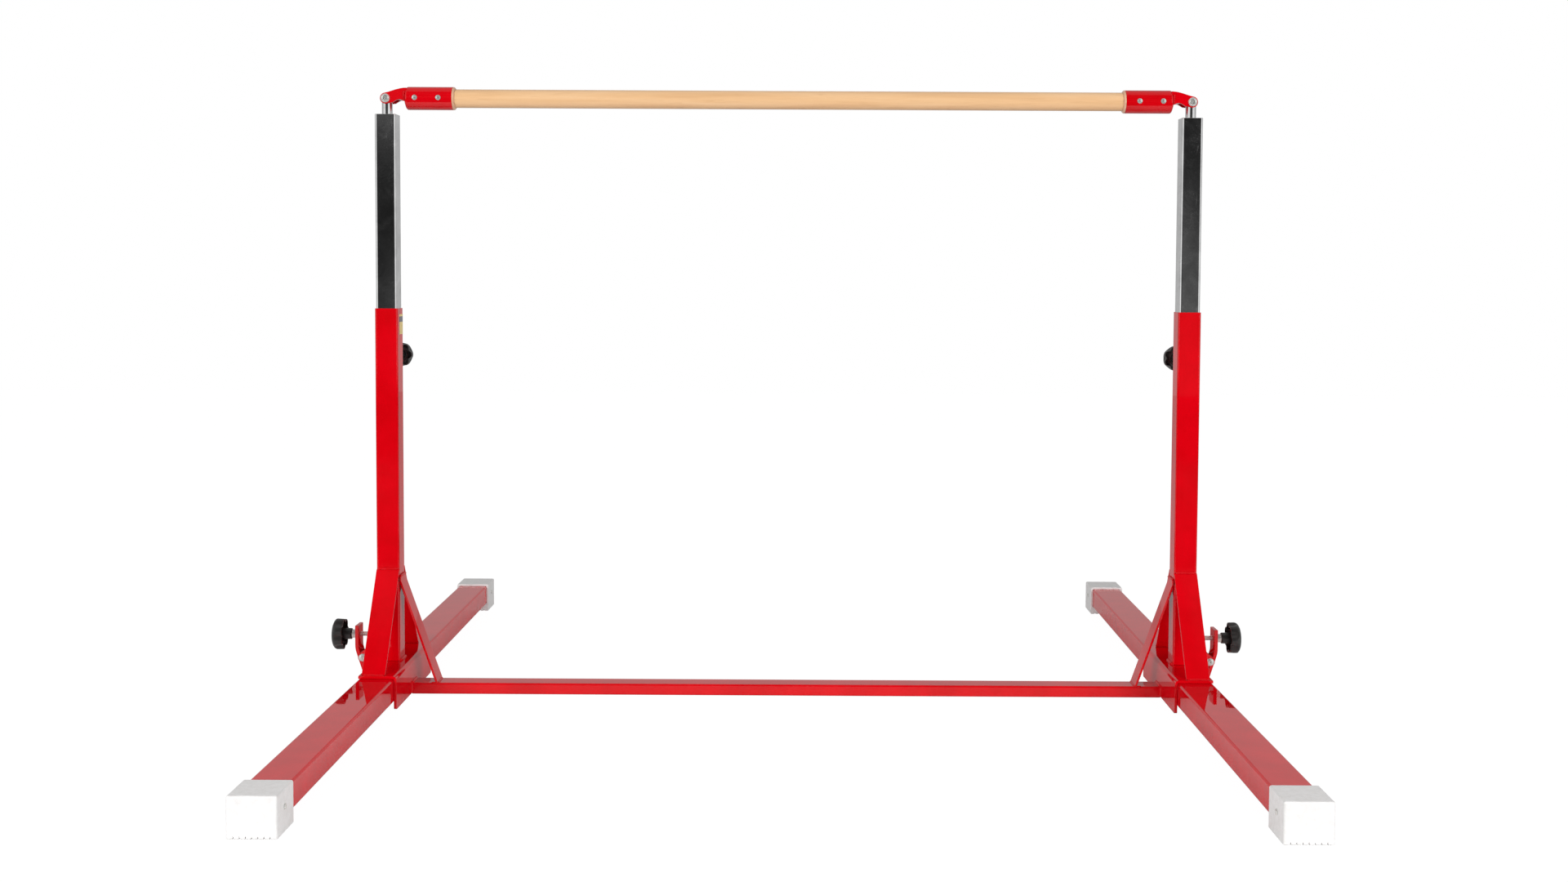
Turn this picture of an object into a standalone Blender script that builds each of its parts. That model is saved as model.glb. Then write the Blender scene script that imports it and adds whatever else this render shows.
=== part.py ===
"""Height-adjustable training bar for gymnastics: a wooden rail between two telescopic posts.

The posts are welded to saddles that sit over two long feet and are joined by a low cross beam.
A lever clamp with a star knob holds each foot in its saddle, and a second star knob behind each
post locks its height. The rail hangs in a slotted fork on a round stub at the top of each post.

Metres, +Z up. X runs along the rail, Y along the feet. The origin is on the floor, midway
between the posts and midway along the feet. "Left" is -X.
"""

import math

import bmesh
import bpy
from mathutils import Matrix, Vector

# Overall sizes
POST_SPREAD = 1.750  # between the two post axes
BAR_HEIGHT = 1.307  # floor to the rail's axis at rest
FOOT_LENGTH = 1.960  # over the end caps
POST_TOP = 0.850  # floor to the rim of the outer post

# Clearances
GAP = 0.0003  # between pieces that touch
INNER_POST_PLAY = 0.0005  # round the inner post in the outer post
PIVOT_PLAY = 0.0009  # round the fork bolt in the post stub
BOLT_PLAY = 0.00015  # round a bolt in a plate that it holds
LEVER_PLAY = 0.0005  # between the clamp lever and each lug

# Foot: a rectangular tube along Y with a moulded cap on each end
FOOT_WIDTH = 0.075
FOOT_HEIGHT = 0.050
FOOT_WALL = 0.002
FOOT_CORNER = 0.004
FOOT_LIFT = 0.018  # floor to the tube
FOOT_INBOARD = 0.007  # post axis to the foot's centre line
CAP_WALL = 0.0047
CAP_END = 0.008
CAP_LENGTH = 0.090
CAP_CORNER = 0.004
GROOVE_COUNT = 7
GROOVE_DEPTH = 0.004
GROOVE_WIDTH = 0.0032
GROOVE_MARGIN = 0.012  # side of the cap to its first groove
CAP_SCREW_SETBACK = 0.042  # cap's closed end to its screw
CAP_SCREW_LENGTH = 0.012

# Saddle: an L-bent plate over the foot
SADDLE_PLATE = 0.006
SADDLE_LENGTH = 0.332
SADDLE_BEND = 0.003  # inner bend radius
SADDLE_LIFT = 0.003  # floor to the flange
SADDLE_CORNER = 0.006  # rounded lower corners of the flange

# Cross beam and braces
BEAM_DEPTH = 0.050
BEAM_HEIGHT = 0.025
BEAM_WALL = 0.0015
BEAM_CORNER = 0.004
BEAM_LIFT = 0.001
BRACE_PLATE = 0.005
BRACE_TOP = 0.279  # floor to the top of the front and rear braces
BRACE_REACH = 0.160  # post axis to the foot of the front and rear braces
SIDE_BRACE_TOP = 0.262
SIDE_BRACE_REACH = 0.108  # post axis to the foot of the side brace

# Posts
POST_SIZE = 0.050
POST_WALL = 0.0015
POST_CORNER = 0.004
INNER_WALL = 0.002
INNER_CORNER = 0.004
INNER_LENGTH = 0.750

# Fork, stub and sleeve at each end of the rail
PIVOT_DROP = 0.001  # rail axis to the pivot below it
STUB_RADIUS = 0.0115
STUB_RISE = 0.0345  # inner post's rim to the pivot
STUB_ROOT = 0.030  # stub below the rim
PLUG_DEPTH = 0.012
FORK_END_RADIUS = 0.0120
FORK_EAR = 0.0055  # thickness of each ear
FORK_SIDE_PLAY = 0.0008
FORK_SLOT_DEPTH = 0.0265  # pivot to the slot's closed end
FORK_NECK = 0.0385  # pivot to the sleeve's closed end
SLEEVE_WALL = 0.0047
SLEEVE_LENGTH = 0.111
SLEEVE_END = 0.010
SLEEVE_ROUND = 0.005
SLEEVE_DOME = 0.004  # rise of the closed end
SLEEVE_SCREWS = (0.026, 0.077)  # sleeve's closed end to each screw
WOOD_RADIUS = 0.020

# Fasteners: radii of shanks and heads, nuts across flats
BOLT_RADIUS = 0.006
BOLT_HEAD_RADIUS = 0.010
BOLT_HEAD_HEIGHT = 0.0055
BOLT_NUT_FLATS = 0.019
BOLT_NUT_HEIGHT = 0.010
PIVOT_SCREW_RADIUS = 0.004
PIVOT_SCREW_HEAD_RADIUS = 0.0085
PIVOT_SCREW_HEAD_HEIGHT = 0.0045
PIVOT_NUT_FLATS = 0.013
PIVOT_NUT_HEIGHT = 0.0065
SMALL_SCREW_RADIUS = 0.003
SMALL_SCREW_HEAD_RADIUS = 0.0058
SMALL_SCREW_DEPTH = 0.0165  # into the sleeve and the wood
CAP_SCREW_RADIUS = 0.0025
CAP_SCREW_HEAD_RADIUS = 0.005
CAP_SCREW_HEAD_HEIGHT = 0.0025
SHANK_END = 0.002  # shank past its nut

# Screw spindles with star knobs
SPINDLE_RADIUS = 0.005
THREAD_PLAY = 0.0002
SPINDLE_NUT_FLATS = 0.017
SPINDLE_NUT_HEIGHT = 0.0084
KNOB_LOBES = 7
KNOB_SKIN = 0.004  # knob material past the spindle's end
CLAMP_KNOB_RADIUS = 0.0345
CLAMP_KNOB_HEAD = 0.0245
CLAMP_KNOB_HUB = 0.017
LOCK_KNOB_RADIUS = 0.028
LOCK_KNOB_HEAD = 0.020
LOCK_KNOB_HUB = 0.014

# Foot clamp, measured outwards from the post's outer face, and up from the floor
LEVER_WIDTH = 0.040
LEVER_THICKNESS = 0.008
LEVER_STANDOFF = 0.042  # to the lever's near face
LEVER_TOP = 0.151
LEVER_LEAN = 17.5  # degrees, below the upper bend
LEVER_BEND = 0.050
LEVER_BEND_HEIGHT = 0.108
LEVER_TOE_BEND = 0.012
LEVER_TOE_HEIGHT = 0.0376
CLAMP_PIVOT_OUT = 0.032
CLAMP_PIVOT_HEIGHT = 0.082
CLAMP_BOSS_RADIUS = 0.0095
CLAMP_SPINDLE_HEIGHT = 0.1295
CLAMP_KNOB_OUT = 0.061  # to the knob's hub
LUG_PLATE = 0.005
LUG_BACK = 0.004
LUG_END_RADIUS = 0.0108
LUG_HEIGHT = 0.048
LUG_NOTCH = 0.009  # between the lugs' tops, for the spindle's swing

# Height lock, behind the outer post
LOCK_HEIGHT = 0.743
LOCK_NUT_HEIGHT = 0.010
LOCK_KNOB_OUT = 0.061  # post's rear face to the knob's hub

# Facets
ROUND_STEPS = 24
SMALL_STEPS = 16
CORNER_STEPS = 3

# Worked out from the sizes above
POST_X = POST_SPREAD / 2
POST_HALF = POST_SIZE / 2
FOOT_X = POST_X - FOOT_INBOARD
FOOT_TOP = FOOT_LIFT + FOOT_HEIGHT
CAP_WIDTH = FOOT_WIDTH + 2 * (GAP + CAP_WALL)
CAP_HEIGHT = FOOT_TOP + GAP + CAP_WALL
TUBE_LENGTH = FOOT_LENGTH - 2 * (CAP_END + GAP)
SADDLE_TOP = FOOT_TOP + GAP + SADDLE_PLATE
FLANGE_FACE = FOOT_X - FOOT_WIDTH / 2 - GAP
BEAM_LENGTH = 2 * (FLANGE_FACE - SADDLE_PLATE - GAP)
BEAM_TOP = BEAM_LIFT + BEAM_HEIGHT
INNER_SIZE = POST_SIZE - 2 * (POST_WALL + INNER_POST_PLAY)
PIVOT_Z = BAR_HEIGHT - PIVOT_DROP
INNER_TOP = PIVOT_Z - STUB_RISE
SLEEVE_BORE = WOOD_RADIUS + GAP
SLEEVE_RADIUS = SLEEVE_BORE + SLEEVE_WALL
FORK_SLOT_HALF = STUB_RADIUS + FORK_SIDE_PLAY
FORK_HALF = FORK_SLOT_HALF + FORK_EAR
WOOD_END = POST_X - FORK_NECK - SLEEVE_END - GAP
LUG_INNER = LEVER_WIDTH / 2 + LEVER_PLAY
LUG_OUTER = LUG_INNER + LUG_PLATE
SPINDLE_BORE = SPINDLE_RADIUS + THREAD_PLAY

# Local X and Y laid along these world directions, with local Z across the plate
FACE_XZ = Matrix.Rotation(math.pi / 2, 4, "X")  # local Z points along -Y
FACE_YZ = Matrix(((0, 0, 1, 0), (1, 0, 0, 0), (0, 1, 0, 0), (0, 0, 0, 1)))  # local Z along +X

# Base colour, metallic and roughness
FINISHES = {
    "red_paint": ((0.60, 0.003, 0.006), 0.0, 0.22),
    "chrome": ((0.72, 0.72, 0.73), 1.0, 0.12),
    "zinc": ((0.66, 0.67, 0.65), 1.0, 0.28),
    "black_plastic": ((0.012, 0.012, 0.013), 0.0, 0.38),
    "white_plastic": ((0.80, 0.80, 0.79), 0.0, 0.50),
    "beech": ((0.85, 0.58, 0.34), 0.0, 0.42),
}

PARTS = "training_bar"
CUTTERS = "cutters"


# --- Scene and object helpers ------------------------------------------------------------------


def clear_scene():
    """Remove what the file holds, and add the two collections."""
    for obj in list(bpy.data.objects):
        bpy.data.objects.remove(obj, do_unlink=True)
    for name in (PARTS, CUTTERS):
        collection = bpy.data.collections.new(name)
        bpy.context.scene.collection.children.link(collection)
    bpy.data.collections[CUTTERS].hide_render = True


def material(name, finish):
    colour, metallic, roughness = FINISHES[finish]
    made = bpy.data.materials.new(name)
    made.use_nodes = True
    shader = made.node_tree.nodes["Principled BSDF"]
    shader.inputs["Base Color"].default_value = (*colour, 1.0)
    shader.inputs["Metallic"].default_value = metallic
    shader.inputs["Roughness"].default_value = roughness
    return made


def as_part(obj, finish):
    """Give a sub-part its material and put it with the parts."""
    obj.data.materials.append(material(obj.name, finish))
    if obj.type == "MESH":
        obj.data.shade_smooth()
        obj.data.set_sharp_from_angle(angle=math.radians(35))
    bpy.data.collections[PARTS].objects.link(obj)
    return obj


def as_cutter(obj):
    obj.hide_render = True
    obj.display_type = "WIRE"
    bpy.data.collections[CUTTERS].objects.link(obj)
    return obj


def mesh_object(name, bm, place):
    mesh = bpy.data.meshes.new(name)
    bm.to_mesh(mesh)
    bm.free()
    obj = bpy.data.objects.new(name, mesh)
    obj.matrix_world = place
    return obj


def boolean(obj, other, operation):
    change = obj.modifiers.new(other.name, "BOOLEAN")
    change.operation = operation
    change.solver = "EXACT"
    change.object = other


def at(x, y, z, turn=None):
    """A placement at a point, turned by a matrix if one is given."""
    move = Matrix.Translation((x, y, z))
    return move @ turn if turn else move


def along(direction):
    """The turn that lays local Z along a world direction."""
    return Vector(direction).to_track_quat("Z", "Y").to_matrix().to_4x4()


# --- Shapes --------------------------------------------------------------------------------------


def box(name, size, place):
    bm = bmesh.new()
    bmesh.ops.create_cube(bm, size=1.0)
    bmesh.ops.scale(bm, vec=size, verts=bm.verts)
    return mesh_object(name, bm, place)


def rod(name, radius, low, high, place, steps=SMALL_STEPS):
    """A cylinder on local Z, between two distances along it."""
    bm = bmesh.new()
    middle = Matrix.Translation((0, 0, (low + high) / 2))
    bmesh.ops.create_cone(
        bm,
        cap_ends=True,
        segments=steps,
        radius1=radius,
        radius2=radius,
        depth=high - low,
        matrix=middle,
    )
    return mesh_object(name, bm, place)


def rect_tube(name, width, depth, length, wall, corner, place):
    """A rectangular tube along local Z: an open round-cornered skin, made solid inwards."""
    bm = bmesh.new()
    bmesh.ops.create_cube(bm, size=1.0)
    bmesh.ops.scale(bm, vec=(width, depth, length), verts=bm.verts)
    ends = [face for face in bm.faces if abs(face.normal.z) > 0.5]
    bmesh.ops.delete(bm, geom=ends, context="FACES_ONLY")
    long_edges = [
        edge for edge in bm.edges if abs(edge.verts[0].co.z - edge.verts[1].co.z) > length / 2
    ]
    bmesh.ops.bevel(
        bm, geom=long_edges, offset=corner, segments=CORNER_STEPS, profile=0.5, affect="EDGES"
    )
    obj = mesh_object(name, bm, place)
    solid = obj.modifiers.new("wall", "SOLIDIFY")
    solid.thickness = wall
    solid.offset = -1.0
    solid.use_even_offset = True
    return obj


def turned(name, profile, place, steps=ROUND_STEPS):
    """A solid turned about local Z. The profile is (radius, height) points from top to bottom."""
    mesh = bpy.data.meshes.new(name)
    points = [(radius, 0.0, height) for radius, height in profile]
    edges = [(i, i + 1) for i in range(len(points) - 1)]
    mesh.from_pydata(points, edges, [])
    obj = bpy.data.objects.new(name, mesh)
    obj.matrix_world = place
    screw = obj.modifiers.new("turn", "SCREW")
    screw.steps = steps
    screw.render_steps = steps
    screw.use_merge_vertices = True
    screw.merge_threshold = 0.00001
    return obj


def flat(name, outline, thickness, place, holes=()):
    """A plate cut to an outline with holes: a filled 2D curve extruded to both sides."""
    curve = bpy.data.curves.new(name, "CURVE")
    curve.dimensions = "2D"
    curve.fill_mode = "BOTH"
    curve.extrude = thickness / 2
    for loop in (outline, *holes):
        spline = curve.splines.new("POLY")
        spline.points.add(len(loop) - 1)
        for point, (x, y) in zip(spline.points, loop):
            point.co = (x, y, 0.0, 1.0)
        spline.use_cyclic_u = True
    obj = bpy.data.objects.new(name, curve)
    obj.matrix_world = place
    return obj


def to_mesh(curve_object):
    """Make a curve object a mesh with welded caps, so that a Boolean can cut it."""
    scene = bpy.context.scene.collection
    scene.objects.link(curve_object)
    place = curve_object.matrix_world.copy()
    graph = bpy.context.evaluated_depsgraph_get()
    mesh = bpy.data.meshes.new_from_object(curve_object.evaluated_get(graph))
    name = curve_object.name
    bpy.data.objects.remove(curve_object, do_unlink=True)
    bm = bmesh.new()
    bm.from_mesh(mesh)
    bmesh.ops.remove_doubles(bm, verts=bm.verts, dist=0.000001)
    bmesh.ops.recalc_face_normals(bm, faces=bm.faces)
    bm.to_mesh(mesh)
    bm.free()
    obj = bpy.data.objects.new(name, mesh)
    obj.matrix_world = place
    return obj


def arc(centre, radius, start, end, steps):
    """Points on a circle between two angles in degrees, both ends included."""
    angles = [math.radians(start + (end - start) * i / steps) for i in range(steps + 1)]
    x, y = centre
    return [(x + radius * math.cos(a), y + radius * math.sin(a)) for a in angles]


def circle(centre, radius, steps=SMALL_STEPS):
    return arc(centre, radius, 0, 360, steps)[:-1]


def hexagon(flats):
    return circle((0, 0), flats / math.sqrt(3), 6)


def mirrored(outline, side):
    """An outline given for the right side, for either side, and always anticlockwise."""
    return [(side * x, y) for x, y in outline][::side]


def nut(name, flats, height, bore, place):
    """A hexagon nut whose underside is at local Z 0."""
    lifted = place @ Matrix.Translation((0, 0, height / 2))
    return as_part(flat(name, hexagon(flats), height, lifted, [circle((0, 0), bore)]), "zinc")


def hang_on(empty_name, point, objects):
    """Parent the pieces of one moving assembly to an empty on its joint's axis."""
    empty = bpy.data.objects.new(empty_name, None)
    empty.empty_display_size = 0.03
    empty.matrix_world = at(*point)
    bpy.data.collections[PARTS].objects.link(empty)
    for obj in objects:
        obj.parent = empty
        obj.matrix_parent_inverse = empty.matrix_world.inverted()


# --- Feet ------------------------------------------------------------------------------------------


def foot_screw_place(side, end):
    """On the inboard face of a cap, with local Z pointing away from the foot."""
    x = side * (FOOT_X - CAP_WIDTH / 2)
    y = end * (FOOT_LENGTH / 2 - CAP_SCREW_SETBACK)
    return at(x, y, FOOT_LIFT + FOOT_HEIGHT / 2, along((-side, 0, 0)))


def foot_screw_hole(side, end, name):
    radius = CAP_SCREW_RADIUS + THREAD_PLAY
    place = foot_screw_place(side, end)
    return as_cutter(rod(name, radius, -CAP_SCREW_LENGTH - GAP, 0.01, place))


def foot_tube(side, name, screw_holes):
    place = at(side * FOOT_X, 0, FOOT_LIFT + FOOT_HEIGHT / 2, Matrix.Rotation(math.pi / 2, 4, "X"))
    tube = rect_tube(name, FOOT_WIDTH, FOOT_HEIGHT, TUBE_LENGTH, FOOT_WALL, FOOT_CORNER, place)
    for hole in screw_holes:
        boolean(tube, hole, "DIFFERENCE")
    return as_part(tube, "red_paint")


def cap_outline():
    """The cap seen from its end: round top corners, and grooves along its tread."""
    half = CAP_WIDTH / 2
    pitch = (CAP_WIDTH - 2 * GROOVE_MARGIN) / (GROOVE_COUNT - 1)
    outline = []
    for i in range(GROOVE_COUNT):
        x = -half + GROOVE_MARGIN + i * pitch
        outline += [(x - GROOVE_WIDTH / 2, 0.0), (x, GROOVE_DEPTH), (x + GROOVE_WIDTH / 2, 0.0)]
    bottom = CAP_CORNER / 2
    outline += arc((half - bottom, bottom), bottom, -90, 0, 2)
    outline += arc((half - CAP_CORNER, CAP_HEIGHT - CAP_CORNER), CAP_CORNER, 0, 90, 3)
    outline += arc((CAP_CORNER - half, CAP_HEIGHT - CAP_CORNER), CAP_CORNER, 90, 180, 3)
    outline += arc((bottom - half, bottom), bottom, 180, 270, 2)
    return outline


def foot_cap(side, end, name, screw_hole):
    middle = end * (FOOT_LENGTH - CAP_LENGTH) / 2
    cap = to_mesh(flat(name, cap_outline(), CAP_LENGTH, at(side * FOOT_X, middle, 0, FACE_XZ)))
    depth = CAP_LENGTH - CAP_END
    pocket = box(
        name + "_pocket",
        (FOOT_WIDTH + 2 * GAP, 2 * depth, FOOT_HEIGHT + 2 * GAP),
        at(side * FOOT_X, end * (FOOT_LENGTH / 2 - CAP_LENGTH), FOOT_LIFT + FOOT_HEIGHT / 2),
    )
    boolean(cap, as_cutter(pocket), "DIFFERENCE")
    boolean(cap, screw_hole, "DIFFERENCE")
    return as_part(cap, "white_plastic")


def pan_screw(name, radius, length, head_radius, head_height, place, finish="zinc"):
    """A pan-head screw: local Z 0 is under the head, and the shank runs towards -Z."""
    profile = [
        (0.0, head_height),
        (0.7 * head_radius, 0.85 * head_height),
        (head_radius, 0.25 * head_height),
        (head_radius, 0.0),
        (radius, 0.0),
        (radius, -length),
        (0.0, -length),
    ]
    return as_part(turned(name, profile, place, SMALL_STEPS), finish)


def build_foot(side, label):
    pieces = []
    holes = {}
    for end, which in ((-1, "front"), (1, "rear")):
        holes[end] = foot_screw_hole(side, end, f"{label}_{which}_cap_screw_hole")
        pieces.append(foot_cap(side, end, f"{label}_{which}_foot_cap", holes[end]))
        lifted = foot_screw_place(side, end) @ Matrix.Translation((0, 0, GAP))
        pieces.append(
            pan_screw(
                f"{label}_{which}_cap_screw",
                CAP_SCREW_RADIUS,
                CAP_SCREW_LENGTH,
                CAP_SCREW_HEAD_RADIUS,
                CAP_SCREW_HEAD_HEIGHT,
                lifted,
            )
        )
    pieces.append(foot_tube(side, f"{label}_foot_tube", holes.values()))
    hang_on(f"{label}_foot_slide", (side * FOOT_X, 0, FOOT_LIFT + FOOT_HEIGHT / 2), pieces)


# --- Welded frame ------------------------------------------------------------------------------------


def saddle(side, name):
    """The bent plate: an open sheet on the foot's side of the metal, made solid outwards."""
    outer_edge = FOOT_X + FOOT_WIDTH / 2
    underside = FOOT_TOP + GAP
    bend = arc((FLANGE_FACE + SADDLE_BEND, underside - SADDLE_BEND), SADDLE_BEND, 90, 180, 4)
    path = [(outer_edge, underside), *bend, (FLANGE_FACE, SADDLE_LIFT)]
    bm = bmesh.new()
    rows = [
        [bm.verts.new((side * x, y, z)) for y in (-SADDLE_LENGTH / 2, SADDLE_LENGTH / 2)]
        for x, z in path
    ]
    for (a, b), (c, d) in zip(rows, rows[1:]):
        bm.faces.new((a, b, d, c)[::side])
    bmesh.ops.bevel(
        bm, geom=rows[-1], offset=SADDLE_CORNER, segments=4, profile=0.5, affect="VERTICES"
    )
    obj = mesh_object(name, bm, Matrix.Identity(4))
    solid = obj.modifiers.new("plate", "SOLIDIFY")
    solid.thickness = SADDLE_PLATE
    solid.offset = 1.0
    solid.use_even_offset = True
    return as_part(obj, "red_paint")


def outer_post(side, name):
    bottom = SADDLE_TOP + GAP
    height = POST_TOP - bottom
    place = at(side * POST_X, 0, bottom + height / 2)
    post = rect_tube(name, POST_SIZE, POST_SIZE, height, POST_WALL, POST_CORNER, place)
    hole = rod(
        name + "_lock_hole",
        SPINDLE_BORE,
        POST_HALF - 3 * POST_WALL,
        POST_HALF + POST_WALL,
        at(side * POST_X, 0, LOCK_HEIGHT, along((0, 1, 0))),
    )
    boolean(post, as_cutter(hole), "DIFFERENCE")
    return as_part(post, "red_paint")


def slanted_bar(top, foot, thickness):
    """A flat bar seen from its edge, cut upright at its top end and level at its foot.

    Each end is the point on the bar's outer face, as (distance, height). The body of the bar
    lies below and inside the line between them.
    """
    run = foot[0] - top[0]
    drop = top[1] - foot[1]
    length = math.hypot(run, drop)
    return [
        top,
        (top[0], top[1] - thickness * length / run),
        (foot[0] - thickness * length / drop, foot[1]),
        foot,
    ]


def post_brace(side, end, name):
    outline = slanted_bar(
        (POST_HALF + GAP, BRACE_TOP), (BRACE_REACH, SADDLE_TOP + GAP), BRACE_PLATE
    )
    place = at(side * POST_X, 0, 0, FACE_YZ)
    return as_part(flat(name, mirrored(outline, end), POST_SIZE, place), "red_paint")


def side_brace(side, name):
    outline = slanted_bar(
        (POST_HALF + GAP, SIDE_BRACE_TOP), (SIDE_BRACE_REACH, BEAM_TOP + GAP), BRACE_PLATE
    )
    place = at(side * POST_X, 0, 0, FACE_XZ)
    return as_part(flat(name, mirrored(outline, -side), BEAM_DEPTH, place), "red_paint")


def cross_beam():
    place = at(0, 0, BEAM_LIFT + BEAM_HEIGHT / 2, FACE_YZ)
    beam = rect_tube(
        "cross_beam", BEAM_DEPTH, BEAM_HEIGHT, BEAM_LENGTH, BEAM_WALL, BEAM_CORNER, place
    )
    return as_part(beam, "red_paint")


def build_frame_side(side, label):
    saddle(side, f"{label}_saddle")
    outer_post(side, f"{label}_outer_post")
    post_brace(side, -1, f"{label}_front_brace")
    post_brace(side, 1, f"{label}_rear_brace")
    side_brace(side, f"{label}_side_brace")


# --- Star knobs ------------------------------------------------------------------------------------


def knob_profile(radius, head, hub):
    """Dome, skirt, the hollow behind the skirt, and the hub: (radius, height), top to bottom."""
    top = hub + head
    return [
        (0.0, top),
        (0.50 * radius, top - 0.03 * head),
        (0.80 * radius, top - 0.12 * head),
        (0.95 * radius, top - 0.25 * head),
        (radius, top - 0.40 * head),
        (radius, hub),
        (0.76 * radius, hub),
        (0.72 * radius, hub + 0.45 * head),
        (0.37 * radius, hub + 0.45 * head),
        (0.34 * radius, 0.0),
        (0.0, 0.0),
    ]


def knob_flutes(name, radius, head, hub, place):
    """Round cutters side by side, one for each hollow between two lobes."""
    bm = bmesh.new()
    low = hub - 0.2 * head
    high = hub + 0.68 * head
    for i in range(KNOB_LOBES):
        angle = 2 * math.pi * (i + 0.5) / KNOB_LOBES
        reach = 1.18 * radius
        centre = (reach * math.cos(angle), reach * math.sin(angle), (low + high) / 2)
        bmesh.ops.create_cone(
            bm,
            cap_ends=True,
            segments=SMALL_STEPS,
            radius1=0.32 * radius,
            radius2=0.32 * radius,
            depth=high - low,
            matrix=Matrix.Translation(centre),
        )
    return mesh_object(name, bm, place)


def star_knob(name, radius, head, hub, place):
    """A lobed knob on local Z: its hub's end is at 0, and its face at hub + head."""
    knob = turned(name, knob_profile(radius, head, hub), place, 4 * KNOB_LOBES)
    flutes = knob_flutes(name + "_flutes", radius, head, hub, place)
    boolean(knob, as_cutter(flutes), "DIFFERENCE")
    bore = rod(name + "_bore", SPINDLE_BORE, -hub, hub + head - KNOB_SKIN, place)
    boolean(knob, as_cutter(bore), "DIFFERENCE")
    return as_part(knob, "black_plastic")


def spindle(name, tip, end, place):
    return as_part(rod(name, SPINDLE_RADIUS, tip, end, place), "zinc")


# --- Foot clamp --------------------------------------------------------------------------------------


def clamp_point(side, out, height):
    return (side * (POST_X + POST_HALF + out), 0, height)


def clamp_bracket(side, name):
    """A U-shaped bracket: two lugs for the pivot screw, joined by a plate on the post."""
    pivot = (CLAMP_PIVOT_OUT, CLAMP_PIVOT_HEIGHT)
    low = SADDLE_TOP + 2 * GAP
    lug = [
        (GAP, low),
        (FOOT_X + FOOT_WIDTH / 2 - POST_X - POST_HALF + LUG_BACK / 2, low),
        *arc(pivot, LUG_END_RADIUS, -80, 52, 8),
        (GAP, low + LUG_HEIGHT),
    ]
    place = at(side * (POST_X + POST_HALF), 0, 0, FACE_XZ)
    hole = circle(pivot, PIVOT_SCREW_RADIUS + BOLT_PLAY)
    block = to_mesh(
        flat(name, mirrored(lug, side), 2 * LUG_OUTER, place, [mirrored(hole, side)])
    )
    reach = CLAMP_PIVOT_OUT + 2 * LUG_END_RADIUS
    x, _, z = clamp_point(side, LUG_BACK + reach / 2, low + LUG_HEIGHT / 2)
    slot = box(name + "_slot", (reach, 2 * LUG_INNER, 2 * LUG_HEIGHT), at(x, 0, z))
    boolean(block, as_cutter(slot), "DIFFERENCE")
    x, _, z = clamp_point(side, 0, low + LUG_HEIGHT)
    notch = box(name + "_notch", (4 * LUG_BACK, 2 * LUG_INNER, 2 * LUG_NOTCH), at(x, 0, z))
    boolean(block, as_cutter(notch), "DIFFERENCE")
    return as_part(block, "red_paint")


def lever_path():
    """The lever's middle line from its top to its toe, as (out, height)."""
    middle = LEVER_STANDOFF + LEVER_THICKNESS / 2
    lean = math.radians(LEVER_LEAN)
    across = Vector((math.cos(lean), -math.sin(lean)))
    upper = Vector((middle - LEVER_BEND, LEVER_BEND_HEIGHT))
    bend_end = upper + across * LEVER_BEND
    toe_bend_top = LEVER_TOE_HEIGHT + LEVER_TOE_BEND * (1 - math.sin(lean))
    toe_bend_out = bend_end.x - (bend_end.y - toe_bend_top) * math.tan(lean)
    lower = Vector((toe_bend_out, toe_bend_top)) - across * LEVER_TOE_BEND
    toe_out = FOOT_X + FOOT_WIDTH / 2 + GAP - POST_X - POST_HALF
    return [
        (middle, LEVER_TOP),
        *arc(upper, LEVER_BEND, 0, -LEVER_LEAN, 3),
        *arc(lower, LEVER_TOE_BEND, -LEVER_LEAN, -90, 4),
        (toe_out, LEVER_TOE_HEIGHT),
    ]


def ribbon(path, thickness):
    """The outline of a band of even thickness along a path."""
    near = []
    far = []
    for i, (x, y) in enumerate(path):
        before = Vector(path[max(i - 1, 0)])
        after = Vector(path[min(i + 1, len(path) - 1)])
        step = (after - before).normalized()
        across = Vector((-step.y, step.x)) * thickness / 2
        near.append((x - across.x, y - across.y))
        far.append((x + across.x, y + across.y))
    return near + far[::-1]


def clamp_lever(side, name):
    """A bent flat bar with a pivot boss behind it and a threaded hole for the spindle."""
    outline = ribbon(lever_path(), LEVER_THICKNESS)
    place = at(side * (POST_X + POST_HALF), 0, 0, FACE_XZ)
    lever = to_mesh(flat(name, mirrored(outline, side), LEVER_WIDTH, place))
    pivot = at(*clamp_point(side, CLAMP_PIVOT_OUT, CLAMP_PIVOT_HEIGHT), along((0, 1, 0)))
    half = LEVER_WIDTH / 2
    boss = rod(name + "_boss", CLAMP_BOSS_RADIUS, -half, half, pivot)
    boolean(lever, as_cutter(boss), "UNION")
    pin_radius = PIVOT_SCREW_RADIUS + BOLT_PLAY
    pin_hole = rod(name + "_pin_hole", pin_radius, -LEVER_WIDTH, LEVER_WIDTH, pivot)
    boolean(lever, as_cutter(pin_hole), "DIFFERENCE")
    thread = at(*clamp_point(side, 0, CLAMP_SPINDLE_HEIGHT), along((side, 0, 0)))
    far = LEVER_STANDOFF + 2 * LEVER_THICKNESS
    thread_hole = rod(name + "_thread", SPINDLE_BORE, CLAMP_PIVOT_OUT, far, thread)
    boolean(lever, as_cutter(thread_hole), "DIFFERENCE")
    return as_part(lever, "red_paint")


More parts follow.
